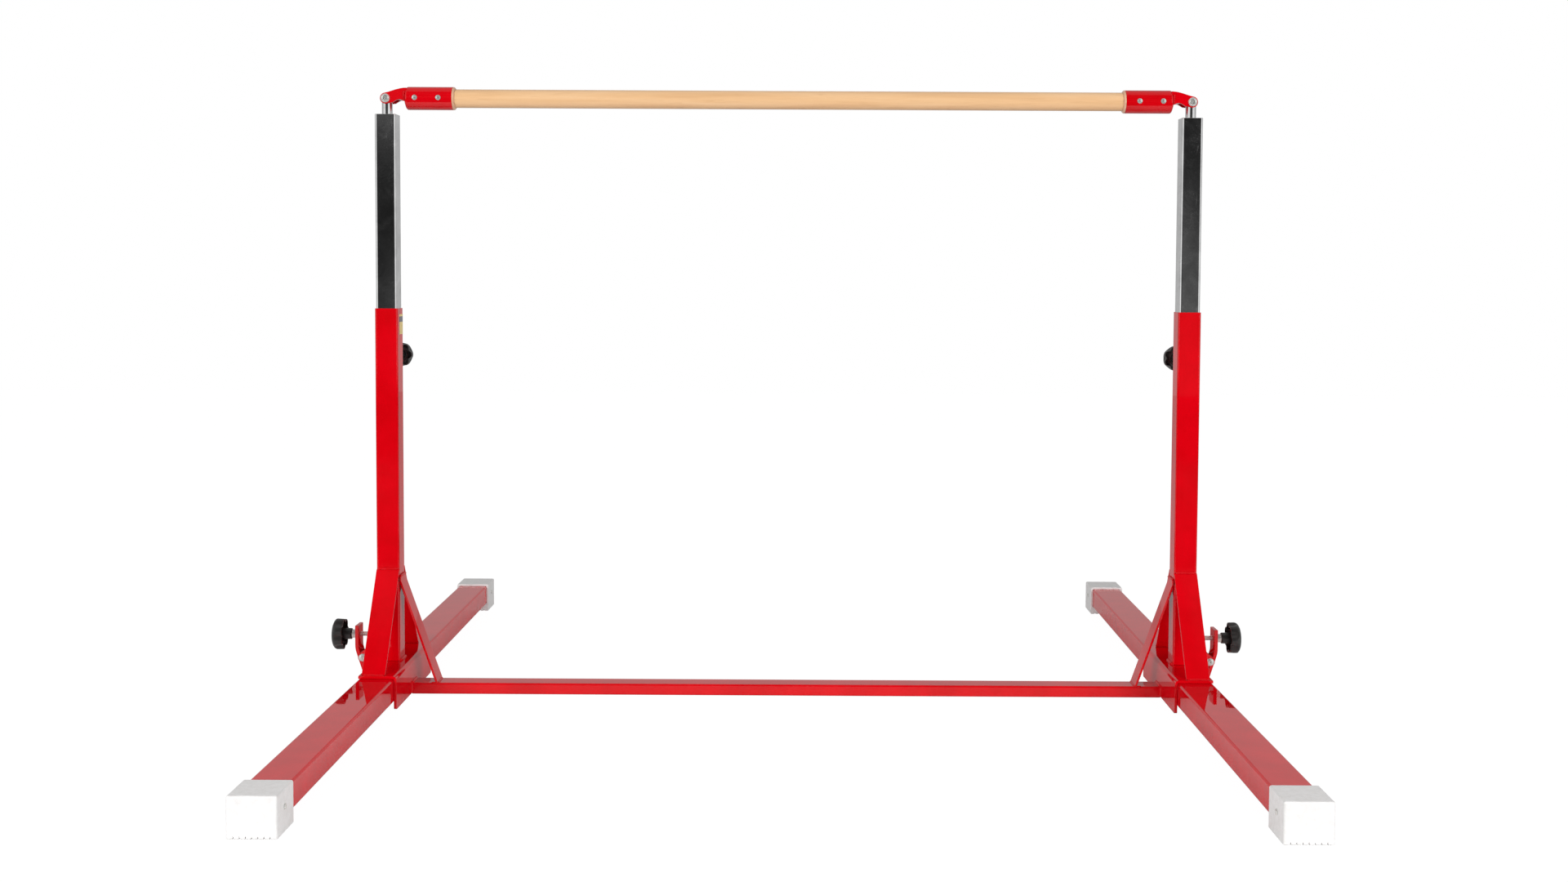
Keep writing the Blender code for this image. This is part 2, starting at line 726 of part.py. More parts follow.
def build_clamp(side, label):
    name = f"{label}_clamp"
    clamp_bracket(side, f"{name}_bracket")
    pivot = clamp_point(side, CLAMP_PIVOT_OUT, CLAMP_PIVOT_HEIGHT)
    front = at(pivot[0], -LUG_OUTER - GAP, pivot[2], along((0, -1, 0)))
    length = 2 * (LUG_OUTER + GAP) + PIVOT_NUT_HEIGHT + SHANK_END
    pan_screw(
        f"{name}_pivot_screw",
        PIVOT_SCREW_RADIUS,
        length,
        PIVOT_SCREW_HEAD_RADIUS,
        PIVOT_SCREW_HEAD_HEIGHT,
        front,
    )
    rear = at(pivot[0], LUG_OUTER + GAP, pivot[2], along((0, 1, 0)))
    nut(
        f"{name}_pivot_nut",
        PIVOT_NUT_FLATS,
        PIVOT_NUT_HEIGHT,
        PIVOT_SCREW_RADIUS + THREAD_PLAY,
        rear,
    )
    hang_on(f"{name}_pivot", pivot, [clamp_lever(side, f"{name}_lever")])

    axis = along((side, 0, 0))
    start = at(*clamp_point(side, 0, CLAMP_SPINDLE_HEIGHT), axis)
    inside_knob = CLAMP_KNOB_OUT + CLAMP_KNOB_HUB + CLAMP_KNOB_HEAD - KNOB_SKIN - GAP
    knob_place = at(*clamp_point(side, CLAMP_KNOB_OUT, CLAMP_SPINDLE_HEIGHT), axis)
    nut_out = CLAMP_KNOB_OUT - GAP - SPINDLE_NUT_HEIGHT
    nut_place = at(*clamp_point(side, nut_out, CLAMP_SPINDLE_HEIGHT), axis)
    pieces = [
        spindle(f"{name}_spindle", GAP, inside_knob, start),
        nut(f"{name}_lock_nut", SPINDLE_NUT_FLATS, SPINDLE_NUT_HEIGHT, SPINDLE_BORE, nut_place),
        star_knob(
            f"{name}_knob", CLAMP_KNOB_RADIUS, CLAMP_KNOB_HEAD, CLAMP_KNOB_HUB, knob_place
        ),
    ]
    hang_on(f"{name}_screw", clamp_point(side, 0, CLAMP_SPINDLE_HEIGHT), pieces)


# --- Height lock ---------------------------------------------------------------------------------------


def build_height_lock(side, label):
    name = f"{label}_height"
    axis = along((0, 1, 0))
    face = POST_HALF
    tip = INNER_SIZE / 2 + GAP
    x = side * POST_X
    nut(
        f"{name}_weld_nut",
        SPINDLE_NUT_FLATS,
        LOCK_NUT_HEIGHT,
        SPINDLE_BORE,
        at(x, face + GAP, LOCK_HEIGHT, axis),
    )
    hub = face + LOCK_KNOB_OUT
    end = hub + LOCK_KNOB_HUB + LOCK_KNOB_HEAD - KNOB_SKIN - GAP
    nut_out = hub - GAP - SPINDLE_NUT_HEIGHT
    pieces = [
        spindle(f"{name}_spindle", tip, end, at(x, 0, LOCK_HEIGHT, axis)),
        nut(
            f"{name}_lock_nut",
            SPINDLE_NUT_FLATS,
            SPINDLE_NUT_HEIGHT,
            SPINDLE_BORE,
            at(x, nut_out, LOCK_HEIGHT, axis),
        ),
        star_knob(
            f"{name}_knob",
            LOCK_KNOB_RADIUS,
            LOCK_KNOB_HEAD,
            LOCK_KNOB_HUB,
            at(x, hub, LOCK_HEIGHT, axis),
        ),
    ]
    hang_on(f"{name}_screw", (x, face, LOCK_HEIGHT), pieces)


# --- Inner posts ---------------------------------------------------------------------------------------


def inner_post(side, name):
    place = at(side * POST_X, 0, INNER_TOP - INNER_LENGTH / 2)
    tube = rect_tube(
        name, INNER_SIZE, INNER_SIZE, INNER_LENGTH, INNER_WALL, INNER_CORNER, place
    )
    return as_part(tube, "chrome")


def post_stub(side, name):
    """A round pin with a domed, cross-drilled head, on a square plug that fills the post's top."""
    pivot = at(side * POST_X, 0, PIVOT_Z)
    dome = [
        (STUB_RADIUS * math.sin(math.radians(a)), STUB_RADIUS * math.cos(math.radians(a)))
        for a in range(0, 91, 30)
    ]
    low = -STUB_RISE - STUB_ROOT
    profile = [(0.0, dome[0][1]), *dome[1:], (STUB_RADIUS, low), (0.0, low)]
    stub = turned(name, profile, pivot)
    bore = INNER_SIZE - 2 * (INNER_WALL + GAP)
    plug = box(
        name + "_plug",
        (bore, bore, PLUG_DEPTH),
        at(side * POST_X, 0, INNER_TOP - GAP - PLUG_DEPTH / 2),
    )
    round_corners = plug.modifiers.new("corners", "BEVEL")
    round_corners.width = INNER_CORNER - INNER_WALL
    round_corners.segments = 2
    boolean(stub, as_cutter(plug), "UNION")
    across = pivot @ along((0, 1, 0))
    reach = 2 * STUB_RADIUS
    hole = rod(name + "_hole", BOLT_RADIUS + PIVOT_PLAY, -reach, reach, across)
    boolean(stub, as_cutter(hole), "DIFFERENCE")
    return as_part(stub, "chrome")


def build_inner_post(side, label):
    pieces = [
        inner_post(side, f"{label}_inner_post"),
        post_stub(side, f"{label}_post_stub"),
    ]
    hang_on(f"{label}_post_slide", (side * POST_X, 0, INNER_TOP), pieces)


# --- Rail ------------------------------------------------------------------------------------------------


def fork_outline():
    """The goose-necked fork, with the pivot at the origin and the sleeve towards +X."""
    top = PIVOT_DROP + SLEEVE_RADIUS
    into_end = FORK_NECK + 0.7 * SLEEVE_END
    return [
        *arc((0, 0), FORK_END_RADIUS, 108, 300, 12),
        (0.40 * FORK_NECK, -0.36 * top),
        (0.60 * FORK_NECK, -0.17 * top),
        (0.78 * FORK_NECK, -0.10 * top),
        (0.92 * FORK_NECK, -0.15 * top),
        (1.02 * FORK_NECK, -0.24 * top),
        (into_end, -0.24 * top),
        (into_end, 0.88 * top),
        (FORK_NECK, 0.86 * top),
        (0.73 * FORK_NECK, 0.79 * top),
        (0.36 * FORK_NECK, 0.63 * top),
    ]


def sleeve_screw_places(side):
    """Centres of the screws on the front of a sleeve, with local Z pointing forwards."""
    for out in SLEEVE_SCREWS:
        x = side * (POST_X - FORK_NECK - out)
        yield at(x, -SLEEVE_RADIUS, BAR_HEIGHT, along((0, -1, 0)))


def sunk_screw_profile(grow):
    """A raised countersunk screw, top to bottom, grown by a clearance."""
    head = SMALL_SCREW_HEAD_RADIUS + grow
    shank = SMALL_SCREW_RADIUS + grow
    cone = head - shank
    return [
        (0.7 * head, 0.0008 + 20 * grow),
        (head, 0.0002 + 20 * grow),
        (head, -0.0006),
        (shank, -0.0006 - cone),
        (shank, -SMALL_SCREW_DEPTH - grow),
        (0.0, -SMALL_SCREW_DEPTH - grow),
    ]


def sunk_screw(name, place):
    profile = [(0.0, 0.0012), *sunk_screw_profile(0.0)]
    return as_part(turned(name, profile, place, SMALL_STEPS), "zinc")


def sunk_screw_hole(name, place):
    profile = [(0.0, 0.0012 + 20 * GAP), *sunk_screw_profile(GAP)]
    return as_cutter(turned(name, profile, place, SMALL_STEPS))


def bar_socket(side, name, screw_holes):
    """The sleeve that holds the rail, closed at its outer end and welded to the slotted fork."""
    inward = -side
    closed_end = at(side * (POST_X - FORK_NECK), 0, BAR_HEIGHT, along((inward, 0, 0)))
    lip = 0.45 * SLEEVE_WALL
    shoulder = -SLEEVE_DOME - SLEEVE_ROUND
    corner = arc((SLEEVE_RADIUS - SLEEVE_ROUND, shoulder), SLEEVE_ROUND, 75, 0, 3)
    mouth = arc((SLEEVE_RADIUS - lip, lip - SLEEVE_LENGTH), lip, 0, -90, 2)
    profile = [
        (0.0, 0.0),
        *corner,
        *mouth,
        (SLEEVE_BORE, -SLEEVE_LENGTH),
        (SLEEVE_BORE, -SLEEVE_END),
        (0.0, -SLEEVE_END),
    ]
    sleeve = turned(name, profile, closed_end @ Matrix.Rotation(math.pi, 4, "X"))
    pivot = at(side * POST_X, 0, PIVOT_Z)
    fork = to_mesh(
        flat(name + "_fork", mirrored(fork_outline(), inward), 2 * FORK_HALF, pivot @ FACE_XZ)
    )
    boolean(sleeve, as_cutter(fork), "UNION")
    depth = FORK_SLOT_DEPTH + 2 * FORK_END_RADIUS
    slot = box(
        name + "_slot",
        (depth, 2 * FORK_SLOT_HALF, 4 * FORK_END_RADIUS),
        at(side * (POST_X - FORK_SLOT_DEPTH + depth / 2), 0, PIVOT_Z),
    )
    boolean(sleeve, as_cutter(slot), "DIFFERENCE")
    across = pivot @ along((0, 1, 0))
    bolt_hole = rod(
        name + "_bolt_hole", BOLT_RADIUS + BOLT_PLAY, -2 * FORK_HALF, 2 * FORK_HALF, across
    )
    boolean(sleeve, as_cutter(bolt_hole), "DIFFERENCE")
    for hole in screw_holes:
        boolean(sleeve, hole, "DIFFERENCE")
    return as_part(sleeve, "red_paint")


def fork_bolt(side, label):
    """The bolt through the fork and the stub, and its nut behind."""
    x = side * POST_X
    length = 2 * (FORK_HALF + GAP) + BOLT_NUT_HEIGHT + SHANK_END
    bolt = pan_screw(
        f"{label}_fork_bolt",
        BOLT_RADIUS,
        length,
        BOLT_HEAD_RADIUS,
        BOLT_HEAD_HEIGHT,
        at(x, -FORK_HALF - GAP, PIVOT_Z, along((0, -1, 0))),
    )
    back = at(x, FORK_HALF + GAP, PIVOT_Z, along((0, 1, 0)))
    bore = BOLT_RADIUS + THREAD_PLAY
    return [bolt, nut(f"{label}_fork_nut", BOLT_NUT_FLATS, BOLT_NUT_HEIGHT, bore, back)]


def wooden_rail(screw_holes):
    place = at(0, 0, BAR_HEIGHT, along((1, 0, 0)))
    rail = rod("wooden_rail", WOOD_RADIUS, -WOOD_END, WOOD_END, place, ROUND_STEPS)
    for hole in screw_holes:
        boolean(rail, hole, "DIFFERENCE")
    return as_part(rail, "beech")


def build_rail():
    pieces = []
    all_holes = []
    for side, label in ((-1, "left"), (1, "right")):
        holes = []
        for place, which in zip(sleeve_screw_places(side), ("outer", "inner")):
            name = f"{label}_{which}_rail_screw"
            holes.append(sunk_screw_hole(name + "_hole", place))
            pieces.append(sunk_screw(name, place))
        pieces.append(bar_socket(side, f"{label}_bar_socket", holes))
        pieces += fork_bolt(side, label)
        all_holes += holes
    pieces.append(wooden_rail(all_holes))
    hang_on("rail_pivot", (-POST_X, 0, PIVOT_Z), pieces)


def main():
    clear_scene()
    cross_beam()
    for side, label in ((-1, "left"), (1, "right")):
        build_frame_side(side, label)
        build_foot(side, label)
        build_clamp(side, label)
        build_height_lock(side, label)
        build_inner_post(side, label)
    build_rail()


main()
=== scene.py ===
"""Looks for the training bar: gloss red steel, chrome posts, a beech rail and moulded plastics.

Every piece is built round a CAD node's box, in metres, +Z up. Outlines with an `out` distance
are given for the right-hand side and mirrored for the left, where -X points outwards.
"""

import math
import random

import bmesh
import bpy
from mathutils import Matrix, Vector


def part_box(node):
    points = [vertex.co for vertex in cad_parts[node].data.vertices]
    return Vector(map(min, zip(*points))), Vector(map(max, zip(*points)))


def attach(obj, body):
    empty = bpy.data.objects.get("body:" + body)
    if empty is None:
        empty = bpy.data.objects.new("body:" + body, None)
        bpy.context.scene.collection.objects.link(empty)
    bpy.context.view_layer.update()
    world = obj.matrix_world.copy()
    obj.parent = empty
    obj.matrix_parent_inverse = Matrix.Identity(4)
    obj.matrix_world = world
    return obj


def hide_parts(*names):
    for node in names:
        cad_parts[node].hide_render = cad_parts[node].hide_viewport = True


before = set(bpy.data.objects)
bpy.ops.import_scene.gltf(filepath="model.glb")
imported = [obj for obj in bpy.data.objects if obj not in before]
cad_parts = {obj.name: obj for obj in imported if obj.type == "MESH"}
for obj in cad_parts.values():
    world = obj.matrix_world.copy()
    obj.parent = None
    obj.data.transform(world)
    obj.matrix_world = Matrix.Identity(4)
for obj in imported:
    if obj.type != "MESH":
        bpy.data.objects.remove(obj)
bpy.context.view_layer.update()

SIDES = (("left", -1), ("right", 1))
ENDS = (("front", -1), ("rear", 1))

# Camera
CAMERA_PLACE = (0.0333, -3.7227, 0.9421)
CAMERA_PITCH = 2.936  # degrees below the horizontal
CAMERA_YAW = -0.075  # degrees to the right of +Y
CAMERA_ROLL = -0.288  # degrees
CAMERA_LENS = 39.0  # mm on a 36 mm sensor
CAMERA_SHIFT = (-0.01065, -0.05466)

# Light
WALL_LIGHT = 0.64
SIDE_LIGHT = 1.15  # of the walls beside the dark end
CEILING_LIGHT = 0.56
DARK_END = (-0.24, -0.48)  # Y of the directions where the front end turns dark
DARK_SIDE = (0.52, 0.38)  # and how far round it reaches
DARK_FLOOR = (-1.15, -1.7)  # Y where the floor does
FLOOR_SHADE = (0.85, 0.03)  # near and far in front
FLOOR_SHOWN = 0.93  # share of the floor that is seen as plain background
FLOOR_GLOW = 1.05
KEY_POWER = 128
KEY_PLACE = (2.75, -3.9, 1.8)
KEY_TARGET = (0, 0, 0.7)
KEY_SIZE = (1.9, 2.7)

# Plates and tubes
TUBE_CORNER = 0.0045
BEAM_CORNER = 0.0038
FOOT_WALL = 0.002
POST_WALL = 0.0015
INNER_WALL = 0.002
SADDLE_PLATE = 0.006
SADDLE_BEND = 0.003
SADDLE_CORNER = 0.006
BRACE_PLATE = 0.005
EDGE = 0.0007  # radius of the sheared edges
WELD = 0.0028  # radius of a weld bead
WELD_RIPPLE = 0.0026
WELD_STAND = 0.0018  # of a bead on the post, so that it stays out of the bore

# Foot clamp, measured outwards from the post's outer face
LEVER_THICKNESS = 0.008
LEVER_LEAN = 17.5  # degrees, below the upper bend
LEVER_BEND = 0.050
LEVER_BEND_HEIGHT = 0.108
LEVER_TOE_BEND = 0.012
LEVER_TOE_HEIGHT = 0.0376
BOSS_RADIUS = 0.0095
LUG_END_RADIUS = 0.0108
LUG_BACK = 0.004
LUG_INNER = 0.0205
LUG_OUTER = 0.0255
LUG_NOTCH = 0.009
LUG_HEIGHT = 0.048

# Fasteners: a nut is its width over flats and its bore
NUT_M8 = (0.013, 0.0041)
NUT_M10 = (0.017, 0.0052)
NUT_M12 = (0.019, 0.0062)
SPINDLE_RADIUS = 0.005
SPINDLE_HOLE = 0.0052
PIVOT_HOLE = 0.00415
PIVOT_HEAD = (0.0085, 0.0045)  # radius and height
CAP_SCREW = 0.0025  # radius, and the height of its head
BUTTON_RISE = 0.0055

# Fork and sleeve
FORK_END_RADIUS = 0.012
FORK_SLOT_DEPTH = 0.0265
FORK_SLOT_HALF = 0.0123
FORK_HALF = 0.0178
FORK_NECK = 0.0385
SLEEVE_BORE = 0.0203
SLEEVE_RADIUS = 0.025
SLEEVE_END = 0.010
SLEEVE_ROUND = 0.005
SLEEVE_DOME = 0.004
SLEEVE_LIP = 0.0052  # the tan rim at its mouth

# Threads, knobs, caps and the label
THREAD_PITCH = 0.0015
THREAD_DEPTH = 0.0008
KNOB_LOBES = 7
CAP_ROUND = 0.0035
CAP_END = 0.008  # thickness of its closed end
CAP_GAP = 0.0003  # round the tube
CAP_GROOVES = 7
CAP_GROOVE_DEPTH = 0.004
CAP_GROOVE_WIDTH = 0.0032
CAP_GROOVE_MARGIN = 0.012
LABEL_SIZE = (0.00025, 0.030, 0.044)
LABEL_PLACE = (0.0065, 0.815)  # Y and Z
LABEL_BLOCK = (0.820, 0.832)  # heights of its dark part

FACE_XZ = Matrix.Rotation(math.pi / 2, 4, "X")  # local Z points along -Y
FACE_YZ = Matrix(((0, 0, 1, 0), (1, 0, 0, 0), (0, 1, 0, 0), (0, 0, 0, 1)))  # local Z along +X


# --- Camera, light and floor -------------------------------------------------


def make_camera():
    pitch, yaw, roll = (math.radians(a) for a in (CAMERA_PITCH, CAMERA_YAW, CAMERA_ROLL))
    ahead = Vector(
        (math.sin(yaw) * math.cos(pitch), math.cos(yaw) * math.cos(pitch), -math.sin(pitch))
    )
    level = Vector((math.cos(yaw), -math.sin(yaw), 0))
    down = ahead.cross(level)
    right = level * math.cos(roll) + down * math.sin(roll)
    below = down * math.cos(roll) - level * math.sin(roll)
    turn = Matrix((right, -below, -ahead)).transposed().to_4x4()
    data = bpy.data.cameras.new("camera")
    data.sensor_width = 36.0
    data.lens = CAMERA_LENS
    data.shift_x, data.shift_y = CAMERA_SHIFT
    camera = bpy.data.objects.new("camera", data)
    camera.matrix_world = Matrix.Translation(CAMERA_PLACE) @ turn
    bpy.context.scene.collection.objects.link(camera)
    bpy.context.scene.camera = camera


def soft_box(label, side):
    """A large soft light at the front, which shows in no reflection."""
    name = f"key_{label}"
    data = bpy.data.lights.new(name, "AREA")
    data.shape = "RECTANGLE"
    data.size, data.size_y = KEY_SIZE
    data.energy = KEY_POWER
    light = bpy.data.objects.new(name, data)
    x, y, z = KEY_PLACE
    place = Vector((side * x, y, z))
    aim = (Vector(KEY_TARGET) - place).to_track_quat("-Z", "Y")
    light.matrix_world = Matrix.Translation(place) @ aim.to_matrix().to_4x4()
    light.visible_glossy = False
    bpy.context.scene.collection.objects.link(light)


def feed(tree, socket, value):
    """Link a socket's value when it comes from another node, or set it."""
    if isinstance(value, bpy.types.NodeSocket):
        tree.links.new(value, socket)
    else:
        socket.default_value = value


def add_node(tree, kind, *values, **named):
    """A shader node with its first inputs fed in order and others by name."""
    node = tree.nodes.new("ShaderNode" + kind)
    for socket, value in zip(node.inputs, values):
        feed(tree, socket, value)
    for name, value in named.items():
        feed(tree, node.inputs[name.replace("_", " ")], value)
    return node


def calculate(tree, operation, *values):
    node = add_node(tree, "Math", *values)
    node.operation = operation
    return node.outputs[0]


def smooth_range(tree, value, start, end, low=0.0, high=1.0):
    """Turn start..end into low..high with soft ends."""
    ends = {"From_Min": start, "From_Max": end, "To_Min": low, "To_Max": high}
    node = add_node(tree, "MapRange", Value=value, **ends)
    node.interpolation_type = "SMOOTHSTEP"
    return node.outputs[0]


def make_world():
    """Pale walls, a greyer ceiling, and a dark end of the studio between two bright walls."""
    world = bpy.data.worlds.new("studio")
    world.use_nodes = True
    bpy.context.scene.world = world
    tree = world.node_tree
    tree.nodes.clear()
    place = add_node(tree, "TexCoord").outputs["Generated"]
    x, y, z = add_node(tree, "SeparateXYZ", place).outputs
    across = smooth_range(tree, calculate(tree, "ABSOLUTE", x), *DARK_SIDE)
    dark = calculate(tree, "MULTIPLY", smooth_range(tree, y, *DARK_END), across)
    walls = smooth_range(tree, y, -0.05, -0.4, WALL_LIGHT, SIDE_LIGHT)
    rise = smooth_range(tree, z, 0.15, 0.75)
    bright = add_node(tree, "Mix", Factor=rise, A=walls, B=CEILING_LIGHT)
    mottle = add_node(tree, "TexNoise", Vector=place, Scale=9.0, Detail=5.0)
    dim = smooth_range(tree, mottle.outputs["Fac"], 0.36, 0.68, 0.02, 0.15)
    room = add_node(tree, "Mix", Factor=dark, A=bright.outputs["Result"], B=dim)
    lit = add_node(tree, "Background", Strength=room.outputs["Result"])
    seen = add_node(tree, "Background", (1, 1, 1, 1))
    path = add_node(tree, "LightPath").outputs["Is Camera Ray"]
    both = add_node(tree, "MixShader", path, lit.outputs[0], seen.outputs[0])
    add_node(tree, "OutputWorld", both.outputs[0])


def make_floor():
    """A pale floor, dark in front of the sweep, shown as bright as the background."""
    bm = bmesh.new()
    bmesh.ops.create_grid(bm, x_segments=2, y_segments=2, size=9.0)
    mesh = bpy.data.meshes.new("floor")
    bm.to_mesh(mesh)
    bm.free()
    floor = bpy.data.objects.new("floor", mesh)
    bpy.context.scene.collection.objects.link(floor)
    pale = bpy.data.materials.new("floor")
    pale.use_nodes = True
    tree = pale.node_tree
    shader = tree.nodes["Principled BSDF"]
    split = add_node(tree, "SeparateXYZ", add_node(tree, "TexCoord").outputs["Object"])
    fade = smooth_range(tree, split.outputs["Y"], *DARK_FLOOR, *FLOOR_SHADE)
    feed(tree, shader.inputs["Base Color"], fade)
    shader.inputs["Roughness"].default_value = 0.9
    shader.inputs["Specular IOR Level"].default_value = 0.1
    glow = add_node(tree, "Emission", Strength=FLOOR_GLOW)
    path = add_node(tree, "LightPath").outputs["Is Camera Ray"]
    share = calculate(tree, "MULTIPLY", path, FLOOR_SHOWN)
    both = add_node(tree, "MixShader", share, shader.outputs[0], glow.outputs[0])
    feed(tree, tree.nodes["Material Output"].inputs[0], both.outputs[0])
    floor.data.materials.append(pale)


# --- Materials ---------------------------------------------------------------


class Shade:
    """One node material: a Principled shader with helpers that add texture nodes."""

    def __init__(self, name, **values):
        self.material = bpy.data.materials.new(name)
        self.material.use_nodes = True
        self.tree = self.material.node_tree
        self.shader = self.tree.nodes["Principled BSDF"]
        for socket, value in values.items():
            self.shader.inputs[socket.replace("_", " ")].default_value = value
        self.place = add_node(self.tree, "TexCoord").outputs["Object"]

    def stretched(self, scale):
        return add_node(self.tree, "Mapping", Vector=self.place, Scale=scale).outputs[0]

    def noise(self, scale, detail=4.0, vector=None, roughness=0.55, distortion=0.0):
        node = add_node(
            self.tree,
            "TexNoise",
            Vector=vector or self.place,
            Scale=scale,
            Detail=detail,
            Roughness=roughness,
            Distortion=distortion,
        )
        return node.outputs["Fac"]

    def ramp(self, value, *stops):
        """Colours or greys at places from 0 to 1."""
        node = add_node(self.tree, "ValToRGB", value)
        elements = node.color_ramp.elements
        while len(elements) < len(stops):
            elements.new(0.5)
        for element, (place, colour) in zip(elements, stops):
            element.position = place
            element.color = (*colour, 1) if isinstance(colour, tuple) else (colour,) * 3 + (1,)
        return node.outputs["Color"]

    def mix(self, factor, a, b):
        """A blend of a colour from another node into a plain colour."""
        node = add_node(self.tree, "Mix")
        node.data_type = "RGBA"
        inputs = [i for i in node.inputs if i.enabled]
        for socket, value in zip(inputs, (factor, a, (*b, 1))):
            feed(self.tree, socket, value)
        return [o for o in node.outputs if o.enabled][0]

    def math(self, operation, a, b):
        return calculate(self.tree, operation, a, b)

    def drive(self, socket, value):
        self.tree.links.new(value, self.shader.inputs[socket])

    def bump(self, height, strength, distance):
        node = add_node(self.tree, "Bump", Strength=strength, Distance=distance, Height=height)
        self.drive("Normal", node.outputs[0])


def red_paint():
    """Gloss enamel with a faint orange peel, and a little deeper where it has pooled."""
    look = Shade(
        "red_paint",
        Roughness=0.5,
        Specular_IOR_Level=0.0,
        Coat_Weight=1.0,
        Coat_Roughness=0.03,
        Coat_IOR=1.5,
    )
    cloud = look.noise(14.0, 3.0)
    look.drive("Base Color", look.ramp(cloud, (0.3, (0.56, 0.0, 0.003)), (0.7, (0.66, 0.0, 0.005))))
    peel = look.noise(330.0, 2.0)
    slow = look.noise(38.0, 2.0)
    look.bump(look.math("ADD", peel, look.math("MULTIPLY", slow, 2.0)), 0.10, 0.0006)
    return look.material


def chrome():
    """Plating with a cloudy, handled surface: smears, fine pits and short scratches."""
    look = Shade("chrome")
    cloud = look.noise(17.0, 7.0, roughness=0.72, distortion=0.8)
    specks = look.noise(330.0, 3.0, roughness=0.7)
    streaks = look.noise(120.0, 2.0, look.stretched((1.0, 1.0, 0.16)), distortion=0.5)
    look.drive("Base Color", look.ramp(cloud, (0.35, 0.62), (0.65, 0.84)))
    smear = look.ramp(cloud, (0.50, 0.0), (0.74, 0.16))
    pits = look.ramp(specks, (0.62, 0.0), (0.74, 0.55))
    lines = look.ramp(streaks, (0.66, 0.0), (0.74, 0.40))
    worn = look.ramp(cloud, (0.36, 0.25), (0.60, 1.0))
    marks = look.math("MULTIPLY", worn, look.math("ADD", pits, lines))
    haze = look.math("ADD", smear, marks)
    look.drive("Metallic", look.math("SUBTRACT", 1.0, look.math("MULTIPLY", haze, 0.11)))
    look.drive("Roughness", look.math("ADD", 0.06, look.math("MULTIPLY", haze, 0.12)))
    look.bump(look.math("ADD", cloud, look.math("MULTIPLY", specks, 0.2)), 0.12, 0.0006)
    return look.material


def zinc():
    """Bright zinc with a trace of yellow passivation and turning marks."""
    look = Shade("zinc", Metallic=0.72)
    cloud = look.noise(120.0, 4.0)
    look.drive("Base Color", look.ramp(cloud, (0.3, (0.72, 0.73, 0.70)), (0.7, (0.90, 0.89, 0.84))))
    look.drive("Roughness", look.ramp(look.noise(700.0, 2.0), (0.3, 0.20), (0.7, 0.36)))
    look.bump(look.noise(900.0, 2.0), 0.05, 0.0001)
    return look.material


def black_plastic():
    """Satin moulded plastic with a fine grain."""
    look = Shade("black_plastic", Coat_Weight=0.25, Coat_Roughness=0.25)
    cloud = look.noise(60.0, 3.0)
    dark, pale = (0.010, 0.009, 0.009), (0.022, 0.020, 0.019)
    look.drive("Base Color", look.ramp(cloud, (0.3, dark), (0.7, pale)))
    look.drive("Roughness", look.ramp(look.noise(500.0, 3.0), (0.3, 0.28), (0.7, 0.42)))
    look.bump(look.noise(1400.0, 2.0), 0.18, 0.0002)
    return look.material


def white_plastic():
    """Off-white moulded caps, faintly scuffed."""
    look = Shade("white_plastic", Specular_IOR_Level=0.42)
    scuff = look.noise(90.0, 6.0, roughness=0.7)
    worn, clean = (0.70, 0.685, 0.675), (0.775, 0.765, 0.76)
    look.drive("Base Color", look.ramp(scuff, (0.30, worn), (0.62, clean)))
    look.drive("Roughness", look.ramp(scuff, (0.3, 0.55), (0.7, 0.38)))
    look.bump(look.noise(1100.0, 3.0), 0.22, 0.0003)
    return look.material


def beech():
    """Lacquered beech: soft bands along the rail, fine pores, and the short flecks of its rays."""
    look = Shade("beech", Coat_Weight=0.35, Coat_Roughness=0.22)
    bands = look.noise(9.0, 4.0, look.stretched((0.35, 6.0, 6.0)), distortion=0.6)
    pores = look.noise(420.0, 3.0, look.stretched((0.035, 1.0, 1.0)), roughness=0.7)
    flecks = look.noise(150.0, 2.0, look.stretched((0.11, 1.0, 1.0)))
    dark, middle, pale = (0.72, 0.43, 0.215), (0.79, 0.49, 0.255), (0.83, 0.54, 0.30)
    base = look.ramp(bands, (0.28, dark), (0.5, middle), (0.75, pale))
    base = look.mix(look.ramp(pores, (0.55, 0.0), (0.8, 0.35)), base, (0.55, 0.30, 0.14))
    base = look.mix(look.ramp(flecks, (0.62, 0.0), (0.72, 0.30)), base, (0.60, 0.34, 0.16))
    look.drive("Base Color", base)
    look.drive("Roughness", look.ramp(pores, (0.4, 0.36), (0.8, 0.55)))
    look.bump(pores, 0.12, 0.0003)
    return look.material


def tan_rim():
    """The sleeve's mouth: a tan rim with a clear coat."""
    look = Shade("rim", Coat_Weight=0.8, Coat_Roughness=0.08, Roughness=0.4)
    cloud = look.noise(90.0, 4.0)
    look.drive("Base Color", look.ramp(cloud, (0.3, (0.62, 0.34, 0.20)), (0.7, (0.76, 0.46, 0.30))))
    look.bump(look.noise(600.0, 2.0), 0.1, 0.0002)
    return look.material


def label_paper():
    """A plain label: a dark block above a yellow field."""
    look = Shade("label", Roughness=0.4, Coat_Weight=0.4, Coat_Roughness=0.12)
    height = add_node(look.tree, "SeparateXYZ", look.place).outputs["Z"]
    above = look.math("GREATER_THAN", height, LABEL_BLOCK[0])
    below = look.math("LESS_THAN", height, LABEL_BLOCK[1])
    inside = look.math("MULTIPLY", above, below)
    tint = look.ramp(look.noise(140.0, 3.0), (0.3, (0.72, 0.50, 0.12)), (0.7, (0.86, 0.66, 0.22)))
    look.drive("Base Color", look.mix(inside, tint, (0.10, 0.09, 0.12)))
    return look.material


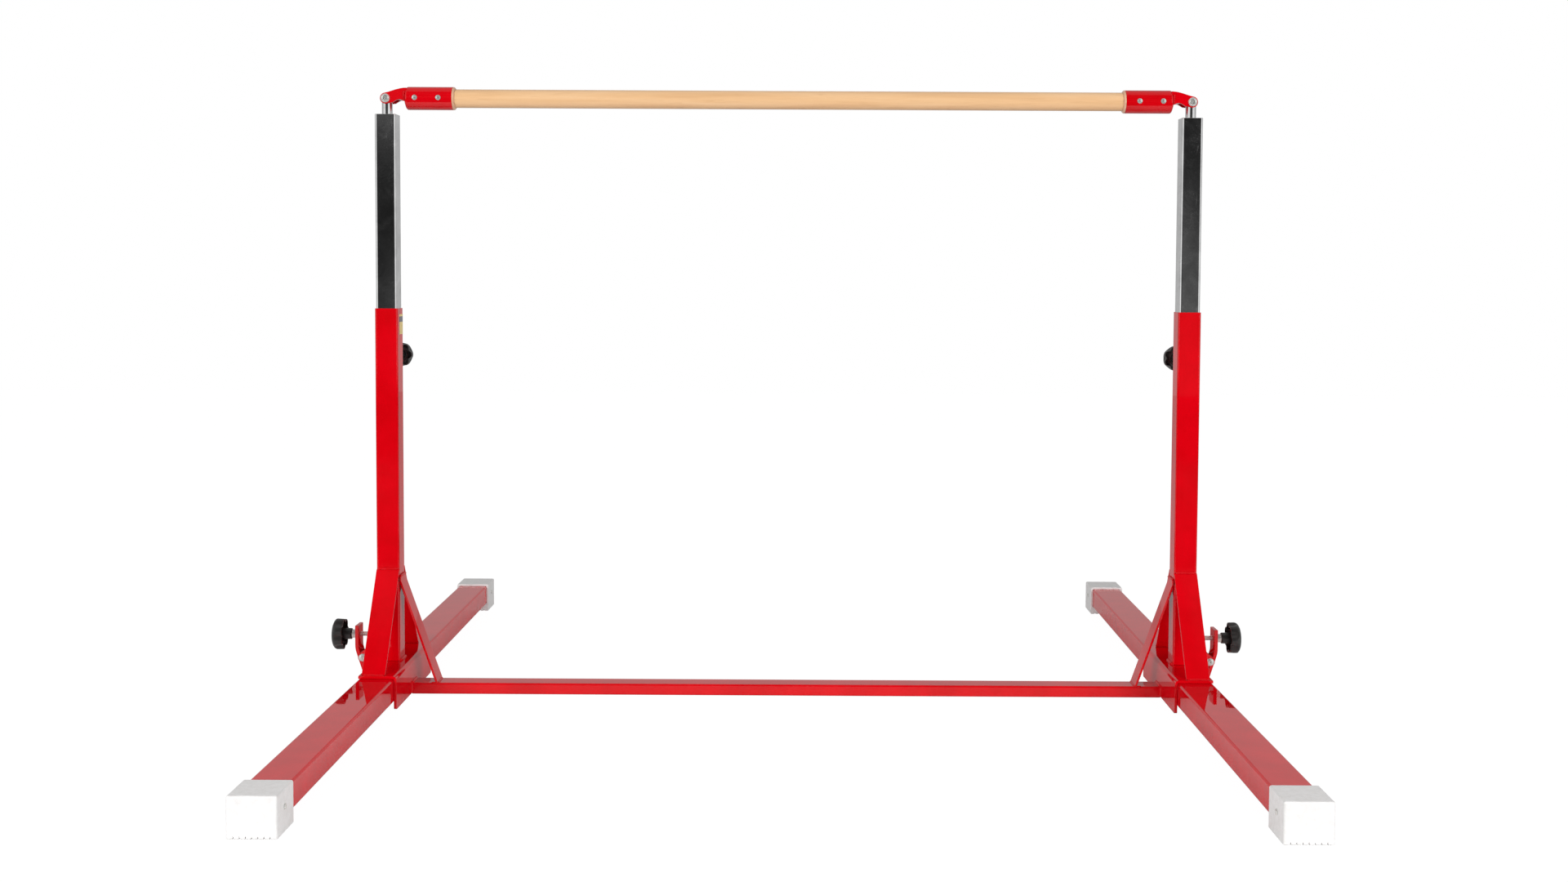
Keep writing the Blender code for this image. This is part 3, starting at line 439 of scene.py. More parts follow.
LOOKS = {  # each material with its slot
    "red": (red_paint(), "red_paint"),
    "chrome": (chrome(), "chrome"),
    "zinc": (zinc(), "zinc_steel"),
    "black": (black_plastic(), "black_plastic"),
    "white": (white_plastic(), "white_plastic"),
    "beech": (beech(), "beech"),
    "label": (label_paper(), "red_paint"),
    "rim": (tan_rim(), "red_paint"),
}


# --- Mesh helpers ------------------------------------------------------------


def at(x, y, z, turn=None):
    move = Matrix.Translation((x, y, z))
    return move @ turn if turn else move


def along(direction):
    """The turn that lays local Z along a direction."""
    return Vector(direction).to_track_quat("Z", "Y").to_matrix().to_4x4()


def arc(centre, radius, start, end, steps):
    """Points on a circle between two angles in degrees, both ends included."""
    angles = [math.radians(start + (end - start) * i / steps) for i in range(steps + 1)]
    x, y = centre
    return [(x + radius * math.cos(a), y + radius * math.sin(a)) for a in angles]


def circle(radius, steps):
    return arc((0, 0), radius, 0, 360, steps)[:-1]


def rounded_rect(width, depth, radius, steps=6):
    outline = []
    for sx, sy, start in ((1, 1, 0), (-1, 1, 90), (-1, -1, 180), (1, -1, 270)):
        centre = (sx * (width / 2 - radius), sy * (depth / 2 - radius))
        outline += arc(centre, radius, start, start + 90, steps)
    return outline


def mirrored(outline, side):
    return [(side * x, y) for x, y in outline][::side]


def skin(rings, place, closed=False):
    """Quads between rings of equal length, each a list of (x, y, z), with faces at both ends."""
    bm = bmesh.new()
    rows = [[bm.verts.new(place @ Vector(p)) for p in ring] for ring in rings]
    pairs = list(zip(rows, rows[1:])) + ([(rows[-1], rows[0])] if closed else [])
    for low, high in pairs:
        for i in range(len(low)):
            j = (i + 1) % len(low)
            bm.faces.new((low[i], low[j], high[j], high[i]))
    if not closed:
        bm.faces.new(rows[0][::-1])
        bm.faces.new(rows[-1])
    return bm


def level(outline, z):
    return [(x, y, z) for x, y in outline]


def tube(width, depth, length, wall, corner, place):
    """A rectangular tube on local Z with eased rims."""
    ease = 0.3 * wall
    outer = rounded_rect(width, depth, corner)
    eased = rounded_rect(width - 2 * ease, depth - 2 * ease, corner - ease)
    inner = rounded_rect(width - 2 * wall, depth - 2 * wall, max(corner - wall, 0.0008))
    half = length / 2
    rings = [
        level(inner, half),
        level(inner, -half),
        level(eased, -half),
        level(outer, ease - half),
        level(outer, half - ease),
        level(eased, half),
    ]
    bm = skin(rings, place, closed=True)
    bmesh.ops.recalc_face_normals(bm, faces=bm.faces)
    return bm


def prism(outline, thickness, place, edge=EDGE, angle=35):
    """A plate cut to an outline, with its sharp edges eased."""
    bm = skin([level(outline, -thickness / 2), level(outline, thickness / 2)], place)
    bmesh.ops.recalc_face_normals(bm, faces=bm.faces)
    ease(bm, edge, angle=angle)
    return bm


def ease(bm, edge, segments=2, angle=35):
    """Round the edges that are sharper than an angle."""
    if not edge:
        return
    paired = [e for e in bm.edges if len(e.link_faces) == 2]
    bmesh.ops.bevel(
        bm,
        geom=[e for e in paired if e.calc_face_angle() > math.radians(angle)],
        offset=edge,
        segments=segments,
        profile=0.5,
        affect="EDGES",
        clamp_overlap=True,
    )


def turned(profile, place, steps=64):
    """A solid turned about local Z from (radius, height) points. End points may lie on the axis."""
    bm = bmesh.new()
    rows = []
    for radius, height in profile:
        if radius < 1e-6:
            rows.append([bm.verts.new(place @ Vector((0, 0, height)))])
        else:
            rows.append([bm.verts.new(place @ Vector((*p, height))) for p in circle(radius, steps)])
    for low, high in zip(rows, rows[1:]):
        for i in range(steps):
            j = (i + 1) % steps
            corners = [row[k % len(row)] for row, k in ((low, i), (low, j), (high, j), (high, i))]
            unique = list(dict.fromkeys(corners))
            if len(unique) > 2:
                bm.faces.new(unique)
    bmesh.ops.recalc_face_normals(bm, faces=bm.faces)
    return bm


def block(size, place, edge=0.0, segments=2):
    bm = bmesh.new()
    bmesh.ops.create_cube(bm, size=1.0)
    bmesh.ops.scale(bm, vec=size, verts=bm.verts)
    ease(bm, edge, segments)
    bm.transform(place)
    return bm


def rod(radius, low, high, place):
    return turned([(0, low), (radius, low), (radius, high), (0, high)], place, 48)


def merged(*parts):
    """Several meshes in one."""
    whole = bmesh.new()
    for bm in parts:
        mesh = bpy.data.meshes.new("part")
        bm.to_mesh(mesh)
        bm.free()
        whole.from_mesh(mesh)
        bpy.data.meshes.remove(mesh)
    return whole


def carve(bm, tool, operation="DIFFERENCE"):
    """Cut, join or intersect two closed meshes, and return the result."""
    objects = []
    for which in (bm, tool):
        mesh = bpy.data.meshes.new("work")
        which.to_mesh(mesh)
        which.free()
        obj = bpy.data.objects.new("work", mesh)
        bpy.context.scene.collection.objects.link(obj)
        objects.append(obj)
    change = objects[0].modifiers.new("cut", "BOOLEAN")
    change.operation = operation
    change.solver = "EXACT"
    change.object = objects[1]
    bpy.context.view_layer.update()
    graph = bpy.context.evaluated_depsgraph_get()
    made = bpy.data.meshes.new_from_object(objects[0].evaluated_get(graph))
    result = bmesh.new()
    result.from_mesh(made)
    for obj in objects:
        bpy.data.objects.remove(obj, do_unlink=True)
    bpy.data.meshes.remove(made)
    bmesh.ops.remove_doubles(result, verts=result.verts, dist=0.00001)
    return result


def piece(name, bm, body, look, replaces=(), sharp=32):
    """Make the visible piece, with smooth faces that stay crisp at its real edges."""
    material, slot = LOOKS[look]
    mesh = bpy.data.meshes.new(name)
    bm.to_mesh(mesh)
    bm.free()
    obj = bpy.data.objects.new(name, mesh)
    bpy.context.scene.collection.objects.link(obj)
    mesh.materials.append(material)
    mesh.shade_smooth()
    mesh.set_sharp_from_angle(angle=math.radians(sharp))
    even = obj.modifiers.new("even", "WEIGHTED_NORMAL")
    even.keep_sharp = True
    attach(obj, body)
    if replaces:
        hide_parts(*replaces)


def bead(start, end, radius=WELD, seed=0):
    """A straight weld bead: overlapping ripples of slightly uneven width."""
    rand = random.Random(seed)
    start, end = Vector(start), Vector(end)
    total = (end - start).length
    run = (end - start).normalized()
    side = run.orthogonal().normalized()
    up = run.cross(side)
    samples = max(12, int(total / WELD_RIPPLE * 4))
    wobble = [rand.uniform(0.88, 1.12) for _ in range(samples + 1)]
    rings = []
    for i in range(samples + 1):
        share = i / samples
        centre = start + run * (share * total)
        ripple = 0.86 + 0.14 * abs(math.sin(math.pi * share * total / WELD_RIPPLE))
        taper = min(1.0, 0.35 + 6 * min(share, 1 - share) * total / (8 * radius))
        size = radius * ripple * taper * (0.6 + 0.4 * wobble[i])
        rings.append([centre + side * (size * x) + up * (size * y) for x, y in circle(1.0, 10)])
    return skin(rings, Matrix.Identity(4))


# --- Fasteners ---------------------------------------------------------------


def cross_recess(width, depth, place):
    """The cutter for a cross recess: two tapered slots."""
    slots = []
    for turn in (0, 90):
        bm = bmesh.new()
        ends = {"radius1": 0.28 * width, "radius2": 0.72 * width, "depth": 2 * depth}
        bmesh.ops.create_cone(bm, cap_ends=True, segments=4, **ends)
        bmesh.ops.rotate(bm, matrix=Matrix.Rotation(math.pi / 4, 3, "Z"), verts=bm.verts)
        bmesh.ops.scale(bm, vec=(1.0, 0.24, 1.0), verts=bm.verts)
        bm.transform(place @ Matrix.Rotation(math.radians(turn + 20), 4, "Z"))
        slots.append(bm)
    return carve(slots[0], slots[1], "UNION")


def pan_screw(radius, length, head_radius, head_height, place):
    """A pan-head screw with a cross recess: local Z 0 is under its head."""
    dome = [
        (head_radius * math.sin(a), head_height * (0.28 + 0.72 * math.cos(a)))
        for a in (math.radians(d) for d in range(0, 91, 10))
    ]
    low = [(head_radius, 0.08 * head_height), (0.96 * head_radius, 0.0), (radius, 0.0)]
    tip = [(radius, 0.4 * radius - length), (0.7 * radius, -length), (0.0, -length)]
    bm = turned([*dome, *low, *tip], place, 48)
    recess = place @ Matrix.Translation((0, 0, head_height))
    return carve(bm, cross_recess(1.05 * head_radius, 0.62 * head_height, recess))


def hex_nut(flats, height, bore, place):
    """A chamfered hexagon nut whose underside is at local Z 0."""
    corner = flats / math.sqrt(3)
    bm = prism(circle(corner, 6), height, at(0, 0, height / 2), edge=0.0)
    barrel = [
        (0.0, 0.0),
        (0.93 * corner, 0.0),
        (1.02 * corner, 0.10 * height),
        (1.02 * corner, 0.90 * height),
        (0.93 * corner, height),
        (0.0, height),
    ]
    bm = carve(bm, turned(barrel, Matrix.Identity(4), 72), "INTERSECT")
    mouth = [
        (0.0, -height),
        (1.14 * bore, -height),
        (1.14 * bore, 0.0),
        (bore, 0.08 * height),
        (bore, 0.92 * height),
        (1.14 * bore, height),
        (1.14 * bore, 2 * height),
        (0.0, 2 * height),
    ]
    bm = carve(bm, turned(mouth, Matrix.Identity(4), 48))
    bm.transform(place)
    return bm


def threaded_rod(radius, low, high, place):
    """A rod with a real helical thread and pointed ends."""
    around = 20
    per_turn = 5
    rows = int((high - low) / THREAD_PITCH * per_turn)
    rings = []
    for i in range(rows + 1):
        z = low + (high - low) * i / rows
        end = min(1.0, min(z - low, high - z) / (1.2 * THREAD_PITCH))
        ring = []
        for j in range(around):
            phase = (z / THREAD_PITCH - j / around) % 1.0
            crest = 1.0 - abs(2.0 * phase - 1.0)
            reach = radius - THREAD_DEPTH * (1.0 - min(1.0, 1.35 * crest)) - 0.0006 * (1 - end)
            angle = 2 * math.pi * j / around
            ring.append((reach * math.cos(angle), reach * math.sin(angle), z))
        rings.append(ring)
    return skin(rings, place)


def centre_of(node):
    low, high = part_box(node)
    return (low + high) / 2


def span(node, axis):
    low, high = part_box(node)
    return low[axis], high[axis]


def standing(node, axis):
    """A node's length along an axis, and the place where it starts."""
    low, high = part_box(node)
    direction = Vector(axis)
    length = abs((high - low).dot(direction))
    return length, at(*((low + high) / 2 - direction * length / 2), along(axis))


# --- Feet --------------------------------------------------------------------


def foot_pieces(label, side):
    tube_name = f"{label}_foot_tube"
    low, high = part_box(tube_name)
    size = high - low
    place = at(*((low + high) / 2), Matrix.Rotation(math.pi / 2, 4, "X"))
    bm = tube(size.x, size.z, size.y, FOOT_WALL, TUBE_CORNER, place)
    piece(f"{label}_foot", bm, f"{label}_foot", "red", [tube_name])
    for which, end in ENDS:
        cap_piece(label, which, end, size)
        node = f"{label}_{which}_cap_screw"
        head_low, head_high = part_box(node)
        x = head_low.x if side < 0 else head_high.x
        inner = head_high.x if side < 0 else head_low.x
        middle = centre_of(node)
        face = inner + side * CAP_SCREW
        screw_place = at(face, middle.y, middle.z, along((-side, 0, 0)))
        length = abs(x - face) - 0.0001
        bm = pan_screw(CAP_SCREW, length, 2 * CAP_SCREW, CAP_SCREW, screw_place)
        piece(f"{node}_head", bm, f"{label}_foot", "zinc", [node])


def cap_outline(width, height, inset=0.0):
    """A foot cap from its end: round corners and V grooves along the tread."""
    half = width / 2 - inset
    base = inset
    pitch = (width - 2 * CAP_GROOVE_MARGIN) / (CAP_GROOVES - 1)
    outline = []
    for i in range(CAP_GROOVES):
        x = i * pitch + CAP_GROOVE_MARGIN - width / 2
        mouth = CAP_GROOVE_WIDTH / 2
        outline += [(x - mouth, base), (x, base + CAP_GROOVE_DEPTH), (x + mouth, base)]
    small = 0.002
    top = height - inset
    outline += arc((half - small, base + small), small, -90, 0, 4)
    outline += arc((half - CAP_ROUND, top - CAP_ROUND), CAP_ROUND, 0, 90, 6)
    outline += arc((CAP_ROUND - half, top - CAP_ROUND), CAP_ROUND, 90, 180, 6)
    outline += arc((small - half, base + small), small, 180, 270, 4)
    return outline


def cap_piece(label, which, end, tube_size):
    """A moulded cap with a rounded closed end, and a bead round its mouth."""
    node = f"{label}_{which}_foot_cap"
    low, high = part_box(node)
    width, length, height = high - low
    outer_y = low.y if end < 0 else high.y
    rings = []
    for angle in (0, 22, 45, 68, 90):
        inset = CAP_ROUND * (1 - math.sin(math.radians(angle)))
        back = CAP_ROUND * (1 - math.cos(math.radians(angle)))
        rings.append(level(cap_outline(width, height, inset), back))
    lip = 0.0006
    rings.append(level(cap_outline(width, height), length - lip))
    rings.append(level(cap_outline(width, height, lip), length))
    place = at((low.x + high.x) / 2, outer_y, 0, Matrix.Rotation(math.pi / 2, 4, "X"))
    if end < 0:
        place = place @ Matrix.Scale(-1, 4, (0, 0, 1))
    bm = skin(rings, place)
    bmesh.ops.recalc_face_normals(bm, faces=bm.faces)
    gap = CAP_GAP
    depth = length - CAP_END
    pocket = block(
        (tube_size.x + 2 * gap, 2 * depth, tube_size.z + 2 * gap),
        at((low.x + high.x) / 2, outer_y - end * length, centre_of(f"{label}_foot_tube").z),
        edge=0.003,
    )
    bm = carve(bm, pocket)
    screw = centre_of(f"{label}_{which}_cap_screw")
    bm = carve(bm, rod(0.0027, -0.02, 0.02, at(*screw, along((1, 0, 0)))))
    piece(f"{label}_{which}_cap", bm, f"{label}_foot", "white", [node])


# --- Welded frame ------------------------------------------------------------


def saddle_piece(label, side):
    """The bent plate, with eased edges and rounded lower corners."""
    node = f"{label}_saddle"
    low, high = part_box(node)
    inner = low.x if side > 0 else -high.x
    outer = high.x if side > 0 else -low.x
    top = high.z
    bend = SADDLE_PLATE + SADDLE_BEND
    centre = (inner + bend, top - bend)
    outline = [
        (outer, top - SADDLE_PLATE),
        (outer, top),
        *arc(centre, bend, 90, 180, 8),
        (inner, low.z),
        (inner + SADDLE_PLATE, low.z),
        *arc(centre, SADDLE_BEND, 180, 90, 5),
    ]
    length = high.y - low.y
    bm = prism(mirrored(outline, side), length, FACE_XZ, angle=40)
    height = top - low.z
    face = [
        (-length, height),
        *arc((SADDLE_CORNER - length / 2, SADDLE_CORNER), SADDLE_CORNER, 180, 270, 8),
        *arc((length / 2 - SADDLE_CORNER, SADDLE_CORNER), SADDLE_CORNER, 270, 360, 8),
        (length, height),
        (length, 2 * height),
        (-length, 2 * height),
    ]
    limits = prism(face, 0.3, at(side * (inner + outer) / 2, 0, low.z, FACE_YZ), edge=0.0)
    bm = carve(bm, limits, "INTERSECT")
    piece(f"{label}_saddle_plate", bm, "frame", "red", [node])


def post_piece(label):
    node = f"{label}_outer_post"
    low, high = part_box(node)
    size = high - low
    bm = tube(size.x, size.y, size.z, POST_WALL, TUBE_CORNER, at(*((low + high) / 2)))
    lock = centre_of(f"{label}_height_spindle")
    hole = rod(SPINDLE_HOLE, 0.02, 0.03, at(lock.x, 0, lock.z, along((0, 1, 0))))
    piece(f"{label}_post_tube", carve(bm, hole), "frame", "red", [node])


def slanted(top, foot, thickness):
    """A flat bar from its edge, upright at its top end and level at its foot."""
    run = foot[0] - top[0]
    drop = top[1] - foot[1]
    length = math.hypot(run, drop)
    return [
        top,
        (top[0], top[1] - thickness * length / run),
        (foot[0] - thickness * length / drop, foot[1]),
        foot,
    ]


def brace_pieces(label, side):
    post = centre_of(f"{label}_outer_post").x
    for which, end in ENDS:
        node = f"{label}_{which}_brace"
        low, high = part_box(node)
        near, far = (low.y, high.y) if end > 0 else (-high.y, -low.y)
        outline = slanted((near, high.z), (far, low.z), BRACE_PLATE)
        place = at(post, 0, 0, FACE_YZ)
        bm = prism(mirrored(outline, end), high.x - low.x, place, edge=0.0011)
        piece(f"{node}_bar", bm, "frame", "red", [node])
    node = f"{label}_side_brace"
    low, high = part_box(node)
    near, far = (-high.x, -low.x) if side > 0 else (low.x, high.x)
    outline = slanted((near, high.z), (far, low.z), BRACE_PLATE)
    bm = prism(outline, high.y - low.y, FACE_XZ, edge=0.0009)
    if side > 0:
        bm.transform(Matrix.Scale(-1, 4, (1, 0, 0)))
        bmesh.ops.reverse_faces(bm, faces=bm.faces)
    piece(f"{node}_bar", bm, "frame", "red", [node])


def beam_piece():
    low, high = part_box("cross_beam")
    size = high - low
    place = at(*((low + high) / 2), FACE_YZ)
    bm = tube(size.y, size.z, size.x, POST_WALL, BEAM_CORNER, place)
    piece("low_beam", bm, "frame", "red", ["cross_beam"])


def frame_welds(label, side):
    """Beads where the post, braces and beam meet the plates."""
    post_low, post_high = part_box(f"{label}_outer_post")
    inner = post_low.x if side > 0 else post_high.x
    outer = post_high.x if side > 0 else post_low.x
    plate = post_low.z
    beam_low, beam_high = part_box("cross_beam")
    saddle_low, saddle_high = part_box(f"{label}_saddle")
    flange = saddle_low.x if side > 0 else saddle_high.x
    half = (post_high.y - post_low.y) / 2
    beads = [
        bead((inner, -half, plate), (inner, half, plate), 1.5 * WELD, 1),
        bead((outer, -half, plate), (outer, half, plate), WELD, 2),
    ]
    for which, end in ENDS:
        low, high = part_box(f"{label}_{which}_brace")
        near, far = (low.y, high.y) if end > 0 else (high.y, low.y)
        near += end * WELD_STAND
        edge = 0.003
        beads += [
            bead((low.x + edge, near, high.z), (high.x - edge, near, high.z), 0.8 * WELD, 3),
            bead((low.x + edge, far, low.z), (high.x - edge, far, low.z), 0.7 * WELD, 4),
        ]
    for y in (beam_low.y, beam_high.y):
        beads.append(bead((flange, y, beam_low.z + 0.002), (flange, y, beam_high.z), WELD, 5))
    beads.append(
        bead((flange, beam_low.y, beam_high.z), (flange, beam_high.y, beam_high.z), 1.3 * WELD, 6)
    )
    low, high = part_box(f"{label}_side_brace")
    foot = low.x if side > 0 else high.x
    top = (high.x if side > 0 else low.x) - side * WELD_STAND
    beads += [
        bead((foot, low.y + 0.003, low.z), (foot, high.y - 0.003, low.z), 0.8 * WELD, 7),
        bead((top, low.y + 0.002, high.z), (top, high.y - 0.002, high.z), WELD, 8),
        bead((foot, low.y, low.z), (foot + side * 0.014, low.y, low.z), 0.8 * WELD, 9),
        bead((top, low.y, high.z - 0.012), (top, low.y, high.z), 0.8 * WELD, 10),
    ]
    bracket_low, bracket_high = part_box(f"{label}_clamp_bracket")
    root = bracket_low.x if side > 0 else bracket_high.x
    for y in (bracket_low.y, bracket_high.y):
        beads.append(
            bead((root, y, bracket_low.z + 0.006), (root, y, bracket_high.z), 0.6 * WELD, 11)
        )
    piece(f"{label}_welds", merged(*beads), "frame", "red", sharp=60)


# --- Foot clamp --------------------------------------------------------------


def lever_path(toe_out, middle, top):
    """The lever's middle line from its top to its toe, as (out, height)."""
    lean = math.radians(LEVER_LEAN)
    across = Vector((math.cos(lean), -math.sin(lean)))
    upper = Vector((middle - LEVER_BEND, LEVER_BEND_HEIGHT))
    bend_end = upper + across * LEVER_BEND
    toe_bend_top = LEVER_TOE_HEIGHT + LEVER_TOE_BEND * (1 - math.sin(lean))
    toe_bend_out = bend_end.x - (bend_end.y - toe_bend_top) * math.tan(lean)
    lower = Vector((toe_bend_out, toe_bend_top)) - across * LEVER_TOE_BEND
    return [
        (middle, top),
        *arc(upper, LEVER_BEND, 0, -LEVER_LEAN, 8),
        *arc(lower, LEVER_TOE_BEND, -LEVER_LEAN, -90, 10),
        (toe_out, LEVER_TOE_HEIGHT),
    ]


def ribbon(path, thickness):
    """The outline of a band of even thickness along a path."""
    near = []
    far = []
    for i, (x, y) in enumerate(path):
        before = Vector(path[max(i - 1, 0)])
        after = Vector(path[min(i + 1, len(path) - 1)])
        step = (after - before).normalized()
        across = Vector((-step.y, step.x)) * thickness / 2
        near.append((x - across.x, y - across.y))
        far.append((x + across.x, y + across.y))
    return near + far[::-1]


def clamp_pieces(label, side):
    name = f"{label}_clamp"
    post_low, post_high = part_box(f"{label}_outer_post")
    face = post_high.x if side > 0 else post_low.x
    low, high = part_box(f"{name}_lever")
    outs = sorted((side * (low.x - face), side * (high.x - face)))
    pivot = centre_of(f"{name}_pivot_screw")
    thread = centre_of(f"{name}_spindle")
    pivot_out = side * (pivot.x - face)

    path = lever_path(outs[0], outs[1] - LEVER_THICKNESS / 2, high.z)
    outline = ribbon(path, LEVER_THICKNESS)
    width = high.y - low.y
    bm = prism(mirrored(outline, side), width, at(face, 0, 0, FACE_XZ), edge=0.0012, angle=50)
    axle = at(pivot.x, 0, pivot.z, along((0, 1, 0)))
    bm = carve(bm, rod(BOSS_RADIUS, -width / 2, width / 2, axle), "UNION")
    bm = carve(bm, rod(PIVOT_HOLE, -width, width, axle))
    bore = at(face, 0, thread.z, along((side, 0, 0)))
    bm = carve(bm, rod(SPINDLE_HOLE, 0.032, 0.060, bore))
    piece(f"{name}_lever_bar", bm, f"{name}_lever", "red", [f"{name}_lever"])

    lug_top = span(f"{name}_bracket", 2)[1]
    base = lug_top - LUG_HEIGHT
    lug = [
        (0.0003, base),
        (0.0075, base),
        *arc((pivot_out, pivot.z), LUG_END_RADIUS, -80, 52, 18),
        (0.0003, lug_top),
    ]
    plane = at(face, 0, 0, FACE_XZ)
    bm = prism(mirrored(lug, side), 2 * LUG_OUTER, plane, edge=0.0010, angle=30)
    slot = block((0.08, 2 * LUG_INNER, 0.2), at(face + side * (LUG_BACK + 0.04), 0, pivot.z))
    notch = block((4 * LUG_BACK, 2 * LUG_INNER, 2 * LUG_NOTCH), at(face, 0, lug_top))
    bm = carve(bm, slot)
    bm = carve(bm, notch)
    bm = carve(bm, rod(PIVOT_HOLE, -0.05, 0.05, axle))
    piece(f"{name}_lugs", bm, "frame", "red", [f"{name}_bracket"])

    node = f"{name}_pivot_screw"
    low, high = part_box(node)
    head_face = low.y + PIVOT_HEAD[1]
    place = at(pivot.x, head_face, pivot.z, along((0, -1, 0)))
    bm = pan_screw(0.004, high.y - head_face, *PIVOT_HEAD, place)
    piece(f"{node}_steel", bm, "frame", "zinc", [node])
    nut_piece(f"{name}_pivot_nut", "frame", NUT_M8, (0, 1, 0))
    spindle_piece(f"{name}_spindle", (side, 0, 0))
    nut_piece(f"{name}_lock_nut", f"{name}_knob", NUT_M10, (side, 0, 0))
    knob_piece(f"{name}_knob", (side, 0, 0), 0.61)


def nut_piece(node, body, size, axis):
    height, place = standing(node, axis)
    flats, bore = size
    bm = hex_nut(flats, height, bore, place)
    piece(f"{node}_steel", bm, body, "zinc", [node], sharp=25)


def spindle_piece(node, axis):
    half = standing(node, axis)[0] / 2
    bm = threaded_rod(SPINDLE_RADIUS, -half, half, at(*centre_of(node), along(axis)))
    piece(f"{node}_thread", bm, node, "zinc", [node], sharp=50)


def knob_piece(node, axis, head_share):
    """A moulded seven-lobed knob: a round dome whose skirt is fluted, hollow behind."""
    low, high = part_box(node)
    length, place = standing(node, axis)
    radius = max(high[i] - low[i] for i in range(3) if not axis[i]) / 2
    head = head_share * length
    hub = length - head
    around = 16 * KNOB_LOBES

    def flute(angle):
        wave = 0.5 + 0.5 * math.cos(KNOB_LOBES * angle)
        return wave**1.6

    def ring(reach, z, deep):
        points = []
        for j in range(around):
            angle = 2 * math.pi * j / around
            r = reach - deep * radius * flute(angle)
            points.append((r * math.cos(angle), r * math.sin(angle), z))
        return points

    top = length
    rings = []
    for share, drop in ((0.06, 0.0), (0.25, 0.006), (0.45, 0.022), (0.62, 0.05), (0.76, 0.10)):
        rings.append(ring(share * radius, top - drop * head, 0.0))
    for share, drop, deep in (
        (0.87, 0.17, 0.000),
        (0.94, 0.25, 0.010),
        (0.98, 0.34, 0.035),
        (1.00, 0.44, 0.085),
        (1.00, 0.58, 0.130),
        (0.995, 0.78, 0.160),
        (0.990, 0.96, 0.175),
        (0.980, 0.99, 0.177),
        (0.965, 1.00, 0.178),
        (0.915, 1.00, 0.172),
        (0.900, 0.98, 0.170),
        (0.880, 0.70, 0.150),
        (0.800, 0.50, 0.090),
        (0.640, 0.42, 0.030),
    ):
        rings.append(ring(share * radius, top - drop * head, deep))
    root = 0.37 * radius
    for share, z in (
        (1.25, hub + 0.56 * head),
        (1.06, hub + 0.52 * head),
        (1.00, hub + 0.40 * head),
        (0.94, 0.0012),
        (0.90, 0.0004),
        (0.82, 0.0),
        (0.60, 0.0),
    ):
        rings.append(ring(share * root, z, 0.0))
    bore = 0.0053
    rings.append(ring(bore, 0.0, 0.0))
    rings.append(ring(bore, length - 0.0042, 0.0))
    rings.append(ring(0.0006, length - 0.0040, 0.0))
    bm = skin(rings, place)
    bmesh.ops.recalc_face_normals(bm, faces=bm.faces)
    piece(f"{node}_grip", bm, node, "black", [node], sharp=70)


def height_pieces(label):
    name = f"{label}_height"
    nut_piece(f"{name}_weld_nut", "frame", NUT_M10, (0, 1, 0))
    spindle_piece(f"{name}_spindle", (0, 1, 0))
    nut_piece(f"{name}_lock_nut", f"{name}_knob", NUT_M10, (0, 1, 0))
    knob_piece(f"{name}_knob", (0, 1, 0), 0.60)


# --- Inner posts -------------------------------------------------------------


def inner_post_pieces(label):
    node = f"{label}_inner_post"
    low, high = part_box(node)
    size = high - low
    bm = tube(size.x, size.y, size.z, INNER_WALL, 0.0055, at(*((low + high) / 2)))
    piece(f"{label}_chrome_tube", bm, node, "chrome", [node])

    stub = f"{label}_post_stub"
    low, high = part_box(stub)
    pivot = centre_of(f"{label}_fork_bolt")
    radius = high.z - pivot.z
    place = at(pivot.x, 0, pivot.z)
    dome = [
        (radius * math.sin(math.radians(a)), radius * math.cos(math.radians(a)))
        for a in range(0, 91, 6)
    ]
    bm = turned([*dome, (radius, low.z - pivot.z), (0.0, low.z - pivot.z)], place, 64)
    top = span(node, 2)[1]
    plug_height = 0.012
    plug = block(
        (high.x - low.x, high.y - low.y, plug_height),
        at(pivot.x, 0, top - 0.0003 - plug_height / 2),
        edge=0.0022,
    )
    bm = carve(bm, plug, "UNION")
    hole = rod(0.0069, -0.03, 0.03, place @ along((0, 1, 0)))
    piece(f"{label}_stub", carve(bm, hole), node, "chrome", [stub])


# --- Rail --------------------------------------------------------------------


def fork_outline(drop):
    """The goose-necked fork, with the pivot at the origin and the sleeve towards +X."""
    top = drop + SLEEVE_RADIUS
    into_end = 1 + 0.7 * SLEEVE_END / FORK_NECK
    neck = (
        (0.40, -0.36),
        (0.50, -0.255),
        (0.60, -0.17),
        (0.69, -0.115),
        (0.78, -0.10),
        (0.86, -0.115),
        (0.92, -0.15),
        (1.02, -0.24),
        (into_end, -0.24),
        (into_end, 0.88),
        (1.0, 0.86),
        (0.86, 0.833),
        (0.73, 0.79),
        (0.54, 0.717),
        (0.36, 0.63),
        (0.16, 0.53),
    )
    round_end = arc((0, 0), FORK_END_RADIUS, 108, 300, 24)
    return round_end + [(x * FORK_NECK, z * top) for x, z in neck]


